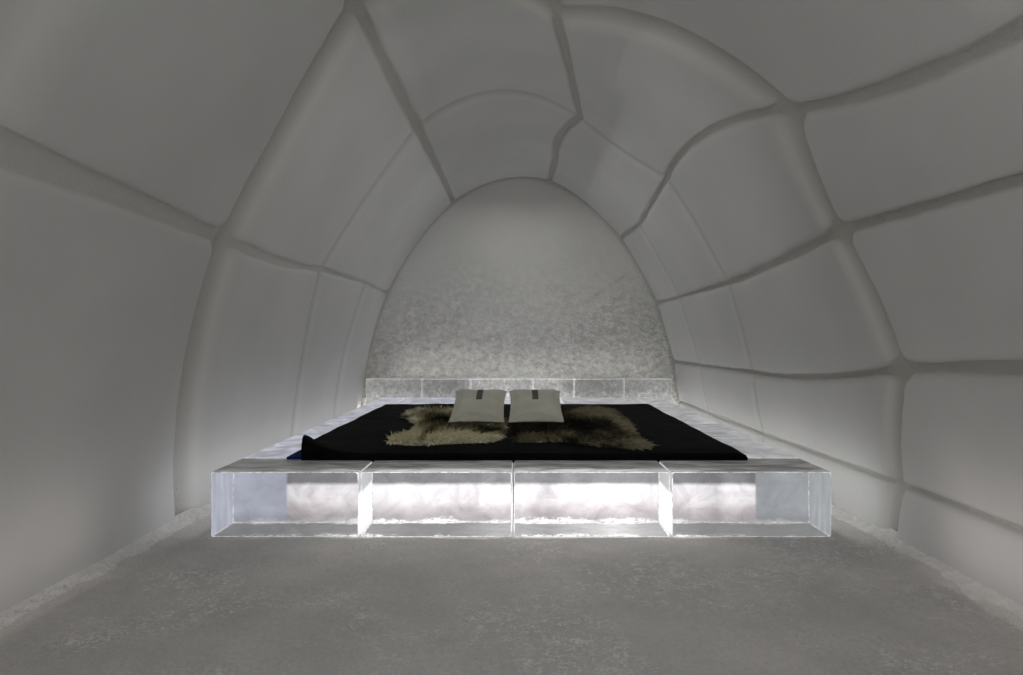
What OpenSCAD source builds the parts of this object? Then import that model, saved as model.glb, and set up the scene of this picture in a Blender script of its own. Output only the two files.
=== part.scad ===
// A one-room igloo of large snow blocks, with a bed of clear ice blocks inside.
// X runs across the room, Y from the doorway to the end wall, Z up from the ground.

/* [Room] */
// Width of the room between the wall feet
room_w = 3060; // [2800:10:3300]
// Height of the room from the snow floor to the crown
room_h = 2370; // [2200:10:2600]
// Length of the room from the front wall to the end wall
room_l = 5520; // [5400:10:5700]
// Fullness of the vault's curve, where 2 is a true ellipse
vault_curve = 1.9; // [1.8:0.05:2.1]
// Thickness of the packed snow floor
floor_t = 100; // [80:10:150]

/* [Snow walls] */
// Thickness of the vault at its feet
foot_t = 550; // [450:10:650]
// Thickness of the vault at its crown
crown_t = 420; // [380:10:500]
// Thickness of the front wall and of the end wall
end_t = 500; // [400:10:600]
// Depth of a ring joint's groove between two blocks inside the room
groove_depth = 40; // [30:1:50]
// Share of its width that the floor of a ring joint's groove has
ring_floor_share = 0.4; // [0.3:0.05:0.5]
// Share of the full depth that the seams' grooves have
seam_share = 0.6; // [0.5:0.05:1]
// Half the width of a faint ring joint's groove
faint_half_w = 15; // [10:1:20]
// Depth of the weathered groove on the outside
outer_groove_depth = 34; // [20:1:45]
// Share of the full depth that the faint ring joints have
faint_share = 0.4; // [0.2:0.1:1]
// Width of a block's rounded edge beside a seam
edge_round = 24; // [20:1:40]
// How far the middle of a block swells into the room
block_swell = 14; // [0:1:20]
// Width of the low ledge of loose snow along the wall feet
bank_w = 140; // [100:5:180]
// Height of the ledge where it meets the wall
bank_h = 36; // [20:2:60]

/* [Doorway] */
// Width of the doorway
door_w = 980; // [900:10:1100]
// Height of the doorway above the snow floor
door_h = 1800; // [1700:10:1900]

/* [Ice bed] */
// Distance from the front wall to the bed's front
bed_start = 2115; // [2000:5:2200]
// Width of the ice platform
bed_w = 2570; // [2500:10:2600]
// Height of the platform above the snow floor
bed_h = 270; // [240:5:300]
// Depth of the front row, front to back
front_rim = 300; // [280:5:320]
// Width of the side rows
side_rim = 230; // [200:5:250]
// Thickness of the board that carries the mattress
board_t = 90; // [70:5:110]
// Length of the board
board_l = 2030; // [1950:10:2060]
// Height of the headboard row above the snow floor
headboard_h = 440; // [400:5:460]
// Thickness of the headboard row
headboard_t = 190; // [150:5:200]
// Width of the joints between ice blocks
ice_joint = 8; // [4:1:12]

/* [Bedding] */
// Width of the thin foam mat
mat_w = 2050; // [1950:10:2080]
// Length of the foam mat
mat_l = 2040; // [1950:5:2100]
// Thickness of the foam mat
mat_t = 14; // [10:1:20]
// Thickness of the blanket
blanket_t = 26; // [15:1:40]
// How far the blanket hangs over the mat's front edge
blanket_lip = 22; // [15:1:30]
// Height of the blanket's curled corner over the mat
corner_lift = 95; // [60:5:110]
// Width of a pillow
pillow_w = 330; // [300:5:340]
// Length of a pillow, up its slope
pillow_l = 520; // [440:5:560]
// Slope of the pillows' faces
pillow_lean = 17; // [14:1:22]
// Thickness of a hide with its hair
hide_t = 28; // [18:1:35]

/* [Hidden] */
$fn = 48;
half_w = room_w / 2;
// The foot of the wall goes on below the snow floor to the ground
ground_angle = 4;
// Middle of the whole length, from the inner face of the front wall
middle = room_l / 2;
bed_front_y = bed_start - middle;
board_y = bed_front_y + front_rim;
board_end_y = board_y + board_l;
// The headboard stands a finger's breadth off the end wall
headboard_gap = 22;
bed_back_y = middle - headboard_gap - headboard_t;
bed_top_z = floor_t + bed_h;
// The bed stands a little to the right of the room's middle
bed_x = 5;

// Names of the vault's block rows, from the left foot over the crown to the right foot
ROWS = ["left_foot", "left_haunch", "crown", "right_haunch", "right_upper", "right_middle", "right_foot"];
// First and last seam of each row
ROW_SEAMS = [[0, 1], [1, 2], [2, 3], [3, 4], [4, 5], [5, 6], [6, 8]];
// First and last ring joint of each bay, counted from the front wall
BAY_RINGS = [[0, 1], [1, 2], [2, 3], [3, 5]];

// The net of joints. A seam runs along the room at an angle over the floor, and a ring
// joint crosses it at a distance from the front wall. Each line below is one ring joint.
NET_ANGLE = [
    [180 + ground_angle, 146, 112, 82, 42, 31, 18.5, 5.8, -ground_angle],
    [180 + ground_angle, 146.5, 113, 86, 40.5, 31.5, 19, 5.8, -ground_angle],
    [180 + ground_angle, 147.7, 115, 84, 46.3, 32.2, 17.4, 5.7, -ground_angle],
    [180 + ground_angle, 147.5, 115, 74.5, 52, 29.7, 14.7, 5.3, -ground_angle],
    [180 + ground_angle, 147, 114.8, 78.7, 49, 29.5, 14.6, 5.2, -ground_angle],
    [180 + ground_angle, 147.6, 114.9, 79.1, 49.9, 29.5, 14.5, 5.2, -ground_angle]
];
NET_DISTANCE = [
    [0, 0, 0, 0, 0, 0, 0, 0, 0],
    [760, 740, 700, 790, 830, 760, 740, 760, 770],
    [2400, 2220, 1950, 2480, 1910, 2040, 1910, 2055, 2120],
    [3670, 3500, 3400, 3660, 3500, 3450, 3480, 3450, 3450],
    [4610, 4640, 4750, 4700, 4700, 4680, 4640, 4580, 4550],
    [room_l, room_l, room_l, room_l, room_l, room_l, room_l, room_l, room_l]
];
// How far a seam bows off the straight line in the middle of each bay, in degrees
SEAM_BOW = [
    [0, 0, 0, 0, 0, 0, 0, 0, 0],
    [0, 0, 0, 0, -1.5, 0, 0, 0, 0],
    [0, 0.8, 0.2, 0, 3.2, -0.3, -0.8, 0, 0],
    [0, 0, 0, 2, 0, 0, 0, 0, 0],
    [0, 0, 0, 0, 0, 0, 0, 0, 0]
];
// How far a ring joint bows off the straight line in the middle of each row
RING_BOW = [
    [0, 0, 0, 0, 0, 0, 0, 0],
    [20, 30, -30, 20, 10, 10, 0, 0],
    [-50, 80, -120, -50, 20, -30, 15, 0],
    [85, 100, -140, 130, 0, -20, 0, 0],
    [0, 0, 0, 0, 0, 0, 0, 0],
    [0, 0, 0, 0, 0, 0, 0, 0]
];
// Half the width of each seam's groove at the doorway, and where it meets the end wall
SEAM_HALF_W = [20, 62, 32, 28, 24, 24, 24, 10, 20];
SEAM_END_HALF_W = [10, 7, 16, 20, 10, 9, 10, 6, 10];
// Half the width of a deep ring joint's groove at each seam, with the slopes beside its floor
RING_HALF_W = [120, 130, 120, 110, 105, 85, 70, 60, 60];
// Radius of the blocks' corners at each seam, seen from the room
CORNER_ROUND = [60, 160, 130, 110, 140, 140, 120, 50, 60];
// Whether the faint ring joint over the bed is cut in each row between seams
BED_JOINT_CUT = [true, false, false, false, true, true, true, true];
LAST_DEEP_RING = 2;
BED_RING = 4;
LAST_RING = 5;
LAST_SEAM = 8;

BEDDING = ["foam_mat", "blanket", "left_hide", "right_hide", "left_pillow", "right_pillow"];

function mix(a, b, t) = a + (b - a) * t;
function bow(t) = 4 * t * (1 - t);

// A point of the vault's section: the fuller half ellipse, grown by a thickness, and
// below the snow floor the straight foot down to the ground
function section(angle, side, top) =
    angle > 180 ? [-half_w - side, -floor_t * (angle - 180) / ground_angle]
    : angle < 0 ? [half_w + side, floor_t * angle / ground_angle]
    : let (c = cos(angle), s = sin(angle))
      let (r = pow(pow(abs(c), vault_curve) + pow(abs(s), vault_curve), -1 / vault_curve))
      [(half_w + side) * r * c, (room_h + top) * r * s];

// The four corners and edges of one field of the net
function corner(ring, seam) = [NET_ANGLE[ring][seam], NET_DISTANCE[ring][seam]];
function ring_edge(ring, seam, u) =
    mix(corner(ring, seam), corner(ring, seam + 1), u) + [0, RING_BOW[ring][seam] * bow(u)];
function seam_edge(ring, seam, v) =
    mix(corner(ring, seam), corner(ring + 1, seam), v) + [SEAM_BOW[ring][seam] * bow(v), 0];

// A point inside one field, blended from its four edges
function net_point(ring, seam, u, v) =
    mix(ring_edge(ring, seam, u), ring_edge(ring + 1, seam, u), v)
    + mix(seam_edge(ring, seam, v), seam_edge(ring, seam + 1, v), u)
    - mix(
        mix(corner(ring, seam), corner(ring, seam + 1), u),
        mix(corner(ring + 1, seam), corner(ring + 1, seam + 1), u),
        v
    );

// Length of a field across the row and along the room, which spaces its grid lines
function field_arc(seam) =
    norm(section(NET_ANGLE[2][seam], 0, 0) - section(NET_ANGLE[2][seam + 1], 0, 0));
function field_run(ring) = NET_DISTANCE[ring + 1][4] - NET_DISTANCE[ring][4];

// Which ring joints are cut deep, and which are only faint in a row of blocks
function deep_ring(ring) = ring > 0 && ring <= LAST_DEEP_RING;
function faint_ring(ring, seam) = !deep_ring(ring) && (ring != BED_RING || BED_JOINT_CUT[seam]);

// Half the width of a groove along a seam, which narrows towards the end wall, and along a
// ring joint
function seam_half(seam, ring, v) =
    let (share = mix(NET_DISTANCE[ring][seam], NET_DISTANCE[ring + 1][seam], v) / room_l)
    SEAM_HALF_W[seam] * pow(SEAM_END_HALF_W[seam] / SEAM_HALF_W[seam], share);
function ring_width(seam, u) = mix(RING_HALF_W[seam], RING_HALF_W[seam + 1], u);
function ring_half(ring, seam, u) =
    deep_ring(ring) ? ring_width(seam, u) * ring_floor_share : faint_half_w;

// Width of the slope beside a ring joint's floor
function ring_slope(ring, seam, u) =
    deep_ring(ring) ? ring_width(seam, u) * (1 - ring_floor_share) : edge_round;

// Grid lines from 0 to 1 between two grooves: their floors, the slopes, the middle
function grid_lines(length, middles, first, first_slope, last, last_slope) =
    let (a = first / length, b = (first + first_slope) / length)
    let (c = 1 - (last + last_slope) / length, d = 1 - last / length)
    concat([0, a, b], [for (i = [1 : middles]) mix(b, c, i / (middles + 1))], [c, d, 1]);

// Depth of a groove as a share of the full depth: its deepest over the floor, less over
// the slope beside it
function groove_share(past_floor, slope, deepest) =
    past_floor < 0.1 ? deepest
    : past_floor > slope ? 0
    : deepest * pow(1 - past_floor / slope, 2);

// The same for a place past a seam's floor and past a ring joint's, with the ring joint's
// slope and the radius that rounds off the block's corner
function deep_share(past_seam, past_ring, slope, radius) =
    let (a = radius - past_seam, b = radius - past_ring)
    let (lean = a * a / (a * a + b * b))
    let (corner_slope = mix(slope, edge_round, lean), corner_deepest = mix(1, seam_share, lean))
    max(
        groove_share(past_ring, slope, 1),
        groove_share(past_seam, edge_round, seam_share),
        a > 0 && b > 0 ? groove_share(radius - norm([a, b]), corner_slope, corner_deepest) : 0
    );

// Distance from a field's nearer cut edge along one direction, past the groove's floor
function past_edge(t, length, first_cut, last_cut, first_half, last_half) =
    min(first_cut ? t * length - first_half : 9999, last_cut ? (1 - t) * length - last_half : 9999);

// One block of one field, as a lofted solid from the room face to the outside
module snow_field(ring, seam) {
    arc = field_arc(seam);
    run = field_run(ring);
    middles = arc > 700 ? 2 : 1;
    nu = middles + 6;
    nv = 7;
    function face_point(i, j, outside) =
        let (near_u = i / (nu - 1))
        let (near_c = ring_half(ring, seam, near_u), near_d = ring_half(ring + 1, seam, near_u))
        let (slope_c = ring_slope(ring, seam, near_u), slope_d = ring_slope(ring + 1, seam, near_u))
        let (v = grid_lines(run, 1, near_c, slope_c, near_d, slope_d)[j])
        let (half_a = seam_half(seam, ring, v), half_b = seam_half(seam + 1, ring, v))
        let (u = grid_lines(arc, middles, half_a, edge_round, half_b, edge_round)[i])
        let (half_c = ring_half(ring, seam, u), half_d = ring_half(ring + 1, seam, u))
        let (past_seam = past_edge(u, arc, seam > 0, seam + 1 < LAST_SEAM, half_a, half_b))
        let (past_ring = past_edge(v, run, deep_ring(ring), deep_ring(ring + 1), half_c, half_d))
        let (faint_a = faint_ring(ring, seam), faint_b = faint_ring(ring + 1, seam))
        let (past_faint = past_edge(v, run, faint_a, faint_b, faint_half_w, faint_half_w))
        let (slope = ring_slope(v < 0.5 ? ring : ring + 1, seam, u))
        let (radius = CORNER_ROUND[u < 0.5 ? seam : seam + 1])
        let (faint_cut = groove_share(past_faint, edge_round, faint_share))
        let (cut = max(deep_share(past_seam, past_ring, slope, radius), faint_cut))
        let (p = net_point(ring, seam, u, v))
        let (inner = groove_depth * cut - block_swell * sin(180 * u))
        let (outer = outer_groove_depth * cut)
        let (q = outside
            ? section(p[0], foot_t - outer, crown_t - outer)
            : section(p[0], inner, inner))
        [q[0], p[1] - middle, q[1] + floor_t];
    inside_points = [for (i = [0 : nu - 1]) for (j = [0 : nv - 1]) face_point(i, j, false)];
    outside_points = [for (i = [0 : nu - 1]) for (j = [0 : nv - 1]) face_point(i, j, true)];
    last = nu * nv;
    function at(i, j) = i * nv + j;
    inside_faces = [
        for (i = [0 : nu - 2]) for (j = [0 : nv - 2])
        for (f = [[at(i, j), at(i + 1, j), at(i + 1, j + 1)], [at(i, j), at(i + 1, j + 1), at(i, j + 1)]]) f
    ];
    outside_faces = [for (f = inside_faces) [f[2] + last, f[1] + last, f[0] + last]];
    rim = concat(
        [for (j = [0 : nv - 2]) at(0, j)],
        [for (i = [0 : nu - 2]) at(i, nv - 1)],
        [for (j = [nv - 1 : -1 : 1]) at(nu - 1, j)],
        [for (i = [nu - 1 : -1 : 1]) at(i, 0)]
    );
    rim_faces = [
        for (k = [0 : len(rim) - 1])
        let (a = rim[k], b = rim[(k + 1) % len(rim)])
        for (f = [[a, b, b + last], [a, b + last, a + last]]) f
    ];
    polyhedron(
        points = concat(inside_points, outside_points),
        faces = [for (f = concat(inside_faces, outside_faces, rim_faces)) [f[2], f[1], f[0]]],
        convexity = 4
    );
}

// One named block of the vault, made of the fields of its row and bay
module vault_block(row, bay) {
    color([0.93, 0.95, 0.97])
    for (seam = [ROW_SEAMS[row][0] : ROW_SEAMS[row][1] - 1])
        for (ring = [BAY_RINGS[bay][0] : BAY_RINGS[bay][1] - 1])
            snow_field(ring, seam);
}

// The vault's outline as a flat shape standing on the ground
module vault_outline(side, top) {
    polygon([
        for (angle = [180 + ground_angle : -ground_angle : -ground_angle])
        section(angle, side, top) + [0, floor_t]
    ]);
}

// An upright wall across the room, starting at a distance along Y
module cross_wall(y) {
    inset = outer_groove_depth * faint_share;
    translate([0, y + end_t, 0])
    rotate([90, 0, 0])
    linear_extrude(end_t)
    vault_outline(foot_t - inset, crown_t - inset);
}

module end_wall() {
    color([0.9, 0.92, 0.94])
    cross_wall(middle);
}

// The arched doorway as a solid that runs through the front wall
module doorway_space() {
    straight_h = floor_t + door_h - door_w / 2;
    translate([0, -middle + 1, 0])
    rotate([90, 0, 0])
    linear_extrude(end_t + 2)
    union() {
        translate([-door_w / 2, -1])
        square([door_w, straight_h + 1]);
        translate([0, straight_h])
        circle(d = door_w, $fn = 96);
    }
}

// The front wall split beside and over the doorway
module front_wall_piece(x0, x1, z0, z1) {
    color([0.9, 0.92, 0.94])
    difference() {
        intersection() {
            cross_wall(-middle - end_t);
            translate([x0, -middle - end_t - 1, z0])
            cube([x1 - x0, end_t + 2, z1 - z0]);
        }
        doorway_space();
    }
}

door_side_h = floor_t + door_h - door_w / 2;
reach = half_w + foot_t;
top_z = floor_t + room_h + crown_t;

module front_wall_left() {
    front_wall_piece(-reach - 1, 0, -1, door_side_h);
}

module front_wall_right() {
    front_wall_piece(0, reach + 1, -1, door_side_h);
}

module front_wall_top() {
    front_wall_piece(-reach - 1, reach + 1, door_side_h, top_z + 1);
}

module snow_floor() {
    color([0.88, 0.9, 0.93])
    translate([-half_w, -middle, 0])
    cube([room_w, room_l, floor_t]);
}

// The ledge's profile, as shares of its width and height
BANK_PROFILE = [[0, 0], [1, 0], [0.9, 0.4], [0.5, 0.75], [0, 1]];

// A low ledge of loose snow along the foot of a wall, from the front wall to the headboard
module foot_bank(side) {
    translate([side * half_w, bed_back_y - ice_joint, floor_t])
    rotate([90, 0, 0])
    linear_extrude(bed_back_y - ice_joint + middle)
    polygon([for (p = BANK_PROFILE) [-side * bank_w * p[0], bank_h * p[1]]]);
}

module foot_banks() {
    color([0.95, 0.96, 0.98]) {
        foot_bank(-1);
        foot_bank(1);
    }
}

// A block of clear ice with slightly melted edges
module ice_block(size) {
    melt = 8;
    translate([melt, 0, 0])
    cube([size[0] - 2 * melt, size[1], size[2] - melt]);
    translate([0, melt, 0])
    cube([size[0], size[1] - 2 * melt, size[2] - melt]);
    translate([melt, melt, 0])
    cube([size[0] - 2 * melt, size[1] - 2 * melt, size[2]]);
}

// Joints of the front row, from the middle of the room
FRONT_JOINTS = [-1280, -662, -30, 623, 1290];

module ice_front_row() {
    color([0.85, 0.93, 1, 0.6])
    for (i = [0 : len(FRONT_JOINTS) - 2])
        translate([FRONT_JOINTS[i] + ice_joint / 2, bed_front_y, floor_t])
        ice_block([FRONT_JOINTS[i + 1] - FRONT_JOINTS[i] - ice_joint, front_rim - ice_joint, bed_h]);
}

module ice_side_rows() {
    side_count = 5;
    back_count = 3;
    step = (bed_back_y - board_y) / side_count;
    back_x = bed_x - bed_w / 2 + side_rim;
    back_step = (bed_w - 2 * side_rim) / back_count;
    color([0.85, 0.93, 1, 0.6]) {
        for (x = [bed_x - bed_w / 2, bed_x + bed_w / 2 - side_rim])
            for (i = [0 : side_count - 1])
                translate([x, board_y + i * step, floor_t])
                ice_block([side_rim, step - ice_joint, bed_h]);
        for (i = [0 : back_count - 1])
            translate([back_x + i * back_step + ice_joint, board_end_y + ice_joint, floor_t])
            ice_block([back_step - 2 * ice_joint, bed_back_y - board_end_y - 2 * ice_joint, bed_h]);
    }
}

// Joints of the headboard row, from the middle of the room
HEADBOARD_JOINTS = [-1430, -906, -458, 120, 500, 960, 1410];

module ice_headboard() {
    color([0.85, 0.93, 1, 0.6])
    for (i = [0 : len(HEADBOARD_JOINTS) - 2])
        translate([HEADBOARD_JOINTS[i] + ice_joint / 2, bed_back_y, floor_t])
        ice_block([HEADBOARD_JOINTS[i + 1] - HEADBOARD_JOINTS[i] - ice_joint, headboard_t, headboard_h]);
}

module bed_board() {
    board_w = bed_w - 2 * side_rim - 2 * ice_joint;
    color([0.6, 0.62, 0.64])
    translate([bed_x - board_w / 2, board_y, bed_top_z - board_t])
    cube([board_w, board_l, board_t]);
}

// Places of the lamp tubes across the room
LAMP_X = [-800, -270, 270, 800];

// Lamp tubes that lie on the snow inside the platform
module light_strips() {
    tube_d = 30;
    end_gap = 100;
    tube_l = board_l - 2 * end_gap;
    color([1, 0.97, 0.95])
    for (x = LAMP_X)
        translate([x, board_y + end_gap + tube_l, floor_t + tube_d / 2])
        rotate([90, 0, 0])
        cylinder(h = tube_l, d = tube_d);
}

// The bedding's left edge and its front edge
mat_x = -1058;
mat_y = board_y - 45;
bedding_z = bed_top_z + mat_t + blanket_t;

module foam_mat() {
    color([0.18, 0.3, 0.5])
    translate([mat_x, mat_y, bed_top_z])
    cube([mat_w, mat_l, mat_t]);
}

// The blanket's outline, from its curled front left corner anticlockwise
BLANKET_EDGE = [
    [-985, 0], [1025, 0], [1015, 2035], [-1045, 2030], [-1050, 700], [-1050, 340]
];

// The blanket lies on the mat, hangs over its front edge and curls up at one corner
module blanket() {
    curl_r = 12;
    curl_w = 170;
    curl_l = 300;
    lip_in = 40;
    ridge_x = 90;
    ridge_h = 62;
    corner_x = BLANKET_EDGE[0][0];
    color([0.04, 0.04, 0.05])
    translate([0, mat_y, bed_top_z + mat_t]) {
        linear_extrude(blanket_t)
        polygon(BLANKET_EDGE);
        translate([corner_x + lip_in, -blanket_lip, -mat_t])
        cube([BLANKET_EDGE[1][0] - corner_x - lip_in, blanket_lip, mat_t + blanket_t]);
        hull() {
            translate([corner_x + curl_r, curl_r, 0])
            cylinder(h = corner_lift, r = curl_r, $fn = 24);
            translate([corner_x + ridge_x, curl_r, 0])
            cylinder(h = ridge_h, r = curl_r, $fn = 24);
            translate([corner_x + curl_w, curl_r, 0])
            cylinder(h = blanket_t, r = curl_r, $fn = 24);
            translate([corner_x + curl_r, curl_l, 0])
            cylinder(h = blanket_t, r = curl_r, $fn = 24);
        }
    }
}

// A hide as an outline of a body with leg lobes
module hide(points, shade) {
    lobe_r = 18;
    color(shade)
    translate([0, -middle, bedding_z])
    linear_extrude(hide_t)
    offset(r = lobe_r)
    offset(delta = -lobe_r)
    polygon(points);
}

module left_hide() {
    hide([
        [-655, 2585], [-580, 2540], [-473, 2520], [-380, 2560], [-164, 2600], [-110, 2655], [-85, 3000],
        [-120, 3600], [-300, 3780], [-497, 3840], [-636, 3910], [-735, 3840], [-750, 3570],
        [-660, 3380], [-590, 3190], [-600, 2840], [-660, 2760]
    ], [0.85, 0.8, 0.68]);
}

module right_hide() {
    hide([
        [-35, 2592], [108, 2607], [180, 2640], [250, 2580], [367, 2503], [540, 2428], [605, 2440],
        [620, 2560], [596, 2793], [620, 3063], [650, 3480], [635, 3822], [579, 3970], [410, 4020],
        [307, 3834], [100, 3750], [-40, 3400], [-50, 2900]
    ], [0.3, 0.27, 0.2]);
}

// A pillow with pointed corners. Its face slopes up to its back edge, its underside is flat
// where it rests, and its filling bulges under the middle of the slope.
module pillow(x) {
    corner_r = 12;
    front_y = 3050;
    belly_inset = 40;
    rise = pillow_l * sin(pillow_lean);
    run = pillow_l * cos(pillow_lean);
    belly_w = pillow_w - 2 * belly_inset;
    bulge_start = run * 0.4;
    bulge_run = run * 0.3;
    bulge_z = rise * 0.6;
    color([0.66, 0.64, 0.6])
    translate([x, front_y - middle, bedding_z + hide_t])
    hull() {
        for (px = [corner_r, pillow_w - corner_r]) {
            translate([px, corner_r, corner_r])
            sphere(r = corner_r, $fn = 16);
            translate([px, run - corner_r, rise])
            sphere(r = corner_r, $fn = 16);
        }
        translate([belly_inset, belly_inset, 0])
        cube([belly_w, run - 2 * belly_inset, corner_r]);
        translate([belly_inset, bulge_start, bulge_z])
        cube([belly_w, bulge_run, corner_r * 2]);
    }
}

module left_pillow() {
    pillow(-412);
}

module right_pillow() {
    pillow(-72);
}

for (row = [0 : len(ROWS) - 1])
    for (bay = [0 : len(BAY_RINGS) - 1])
        vault_block(row, bay);
end_wall();
front_wall_left();
front_wall_right();
front_wall_top();
snow_floor();
foot_banks();
ice_front_row();
ice_side_rows();
ice_headboard();
bed_board();
light_strips();
foam_mat();
blanket();
left_hide();
right_hide();
left_pillow();
right_pillow();
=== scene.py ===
"""The looks of a one-room snow igloo with a lit ice bed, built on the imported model."""

import math

import bmesh
import bpy
import numpy as np
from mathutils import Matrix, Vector, noise
from mathutils.bvhtree import BVHTree


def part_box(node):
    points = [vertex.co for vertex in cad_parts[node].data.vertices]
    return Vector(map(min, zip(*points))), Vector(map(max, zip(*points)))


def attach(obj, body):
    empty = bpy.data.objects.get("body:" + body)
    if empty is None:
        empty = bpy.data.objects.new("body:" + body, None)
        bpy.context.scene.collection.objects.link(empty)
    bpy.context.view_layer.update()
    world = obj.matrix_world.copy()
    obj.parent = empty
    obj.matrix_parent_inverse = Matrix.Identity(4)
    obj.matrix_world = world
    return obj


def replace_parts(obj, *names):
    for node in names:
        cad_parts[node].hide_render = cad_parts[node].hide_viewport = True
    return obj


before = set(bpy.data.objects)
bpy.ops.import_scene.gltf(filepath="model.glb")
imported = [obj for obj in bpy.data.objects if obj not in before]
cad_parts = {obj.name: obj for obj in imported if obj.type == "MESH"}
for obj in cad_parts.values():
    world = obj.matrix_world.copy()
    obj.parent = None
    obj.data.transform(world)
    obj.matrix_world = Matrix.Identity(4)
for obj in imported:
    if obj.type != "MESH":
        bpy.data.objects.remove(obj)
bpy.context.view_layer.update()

# Places and sizes read from the frame, in metres
FLOOR_LOW, FLOOR_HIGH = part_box("snow_floor")
FLOOR_Z = FLOOR_HIGH[2]
HALF_W = FLOOR_HIGH[0]
ROOM_L = FLOOR_HIGH[1] - FLOOR_LOW[1]
WALL_Y = FLOOR_HIGH[1]
FRONT_Y = FLOOR_LOW[1]
BED_LOW, BED_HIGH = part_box("ice_front_row")
BOARD_LOW, BOARD_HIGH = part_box("bed_board")
SIDE_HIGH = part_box("ice_side_rows")[1]
HEAD_LOW, HEAD_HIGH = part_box("ice_headboard")
BANK_LOW, BANK_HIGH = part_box("foot_banks")
BED_TOP = BOARD_HIGH[2]

# Sizes that the frame doesn't state, the same as in the part's source
ROOM_H = 2.37
VAULT_CURVE = 1.9
FOOT_T = 0.55
CROWN_T = 0.42
GROUND_ANGLE = 4.0
GROOVE_DEPTH = 0.040
OUTER_GROOVE_DEPTH = 0.034
FAINT_SHARE = 0.35
SEAM_HALF_W = np.array([20, 62, 32, 28, 24, 24, 24, 10, 20]) / 1000
SEAM_END_HALF_W = np.array([10, 7, 16, 20, 10, 9, 10, 6, 10]) / 1000
RING_HALF_W = np.array([120, 130, 120, 110, 102, 66, 54, 48, 48]) / 1000
CORNER_ROUND = np.array([60, 160, 130, 110, 140, 140, 120, 50, 60]) / 1000
EDGE_ROUND = 0.024
BLOCK_SWELL = 0.014
BANK_W = 0.14
BANK_H = 0.036
PILLOW_LEAN = math.radians(16.5)
PILLOW_L = 0.52
UP_PILLOW = np.array([0, math.cos(PILLOW_LEAN), math.sin(PILLOW_LEAN)])
OFF_PILLOW = np.array([0, -math.sin(PILLOW_LEAN), math.cos(PILLOW_LEAN)])

# A distance beyond the reach of any groove
FAR = 9.0

# The steep lip at the edge of a seam's floor
LIP_W = 0.009
LIP_SHARE = 0.5

# Each seam's depth, as a share of the full depth, and how much of the rough snow on its
# floor shows, drawn darker partly by its own colour and partly as painted shade
SEAM_SHARE = np.array([0.5, 0.38, 0.6, 0.6, 0.6, 0.6, 0.6, 0.6, 0.5])
SEAM_ROUGH_AND_SHADE = np.array([0.5, 0.55, 0.95, 1.0, 0.85, 1.0, 1.0, 1.0, 0.8])

# A ring joint's floor is narrow. The blocks before it end in a crisp edge, and those
# beyond it begin with a wide rounded shoulder, given as a multiple of RING_HALF_W
RING_FLOOR_W = 0.012
NEAR_LIP = 0.024
DEEP_REACH = 2.1
FAINT_REACH = 1.1
# How much of the faint joints' rough snow shows, darker partly by its own colour and partly as painted shade
FAINT_ROUGH_AND_SHADE = 0.75
# How strong the painted highlight on the faint joints' shoulders is
FAINT_HIGHLIGHT = 0.3
NEAR_CORNER = 0.055

# The end wall's rim along the vault, drawn darker as painted shade, and a dark scratch on it:
# from and to, across the room and over the floor
CORNER_SHADE_W = 0.034
SCRATCH = np.array([(0.71, 1.22), (1.05, 1.45)])
SCRATCH_W = 0.02

# The photograph's eye: its height over the snow floor, its distance from the end wall,
# and where the room's lines meet, in the photograph's pixels
PHOTO_W = 1023
EYE_HEIGHT = 0.824
EYE_TO_END_WALL = 5.97
FOCAL_PX = 622.0
VANISHING_X = 520.0

# The vault's rows of blocks, with their first and last seam, and the bays' ring joints
ROWS = {
    "left_foot": (0, 1), "left_haunch": (1, 2), "crown": (2, 3), "right_haunch": (3, 4),
    "right_upper": (4, 5), "right_middle": (5, 6), "right_foot": (6, 8),
}
BAYS = [(0, 1), (1, 2), (2, 3), (3, 5)]
LAST_DEEP_RING = 2
BED_RING = 4
LAST_SEAM = 8
LEFT_GROUND, RIGHT_GROUND = 180 + GROUND_ANGLE, -GROUND_ANGLE

# The net of joints: one line per ring joint, with the angle and the distance from the
# front wall of each seam on it, as in the part's source
NET_ANGLE = np.array([
    [LEFT_GROUND, 146, 112, 82, 42, 31, 18.5, 5.8, RIGHT_GROUND],
    [LEFT_GROUND, 146.5, 113, 86, 40.5, 31.5, 19, 5.8, RIGHT_GROUND],
    [LEFT_GROUND, 147.7, 115, 84, 46.3, 32.2, 17.4, 5.7, RIGHT_GROUND],
    [LEFT_GROUND, 147.5, 115, 74.5, 52, 29.7, 14.7, 5.3, RIGHT_GROUND],
    [LEFT_GROUND, 147, 114.8, 78.7, 49, 29.5, 14.6, 5.2, RIGHT_GROUND],
    [LEFT_GROUND, 147.6, 114.9, 79.1, 49.9, 29.5, 14.5, 5.2, RIGHT_GROUND],
])
NET_DISTANCE = np.array([
    [0, 0, 0, 0, 0, 0, 0, 0, 0],
    [0.76, 0.74, 0.70, 0.79, 0.83, 0.76, 0.74, 0.76, 0.77],
    [2.40, 2.22, 1.95, 2.48, 1.91, 2.04, 1.91, 2.055, 2.12],
    [3.67, 3.50, 3.40, 3.66, 3.50, 3.45, 3.48, 3.45, 3.45],
    [4.61, 4.64, 4.75, 4.70, 4.70, 4.68, 4.64, 4.58, 4.55],
    [ROOM_L] * 9,
])
SEAM_BOW = np.array([
    [0, 0, 0, 0, 0, 0, 0, 0, 0],
    [0, 0, 0, 0, -1.5, 0, 0, 0, 0],
    [0, 0.8, 0.2, 0, 3.2, -0.3, -0.8, 0, 0],
    [0, 0, 0, 2, 0, 0, 0, 0, 0],
    [0, 0, 0, 0, 0, 0, 0, 0, 0],
])
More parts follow.
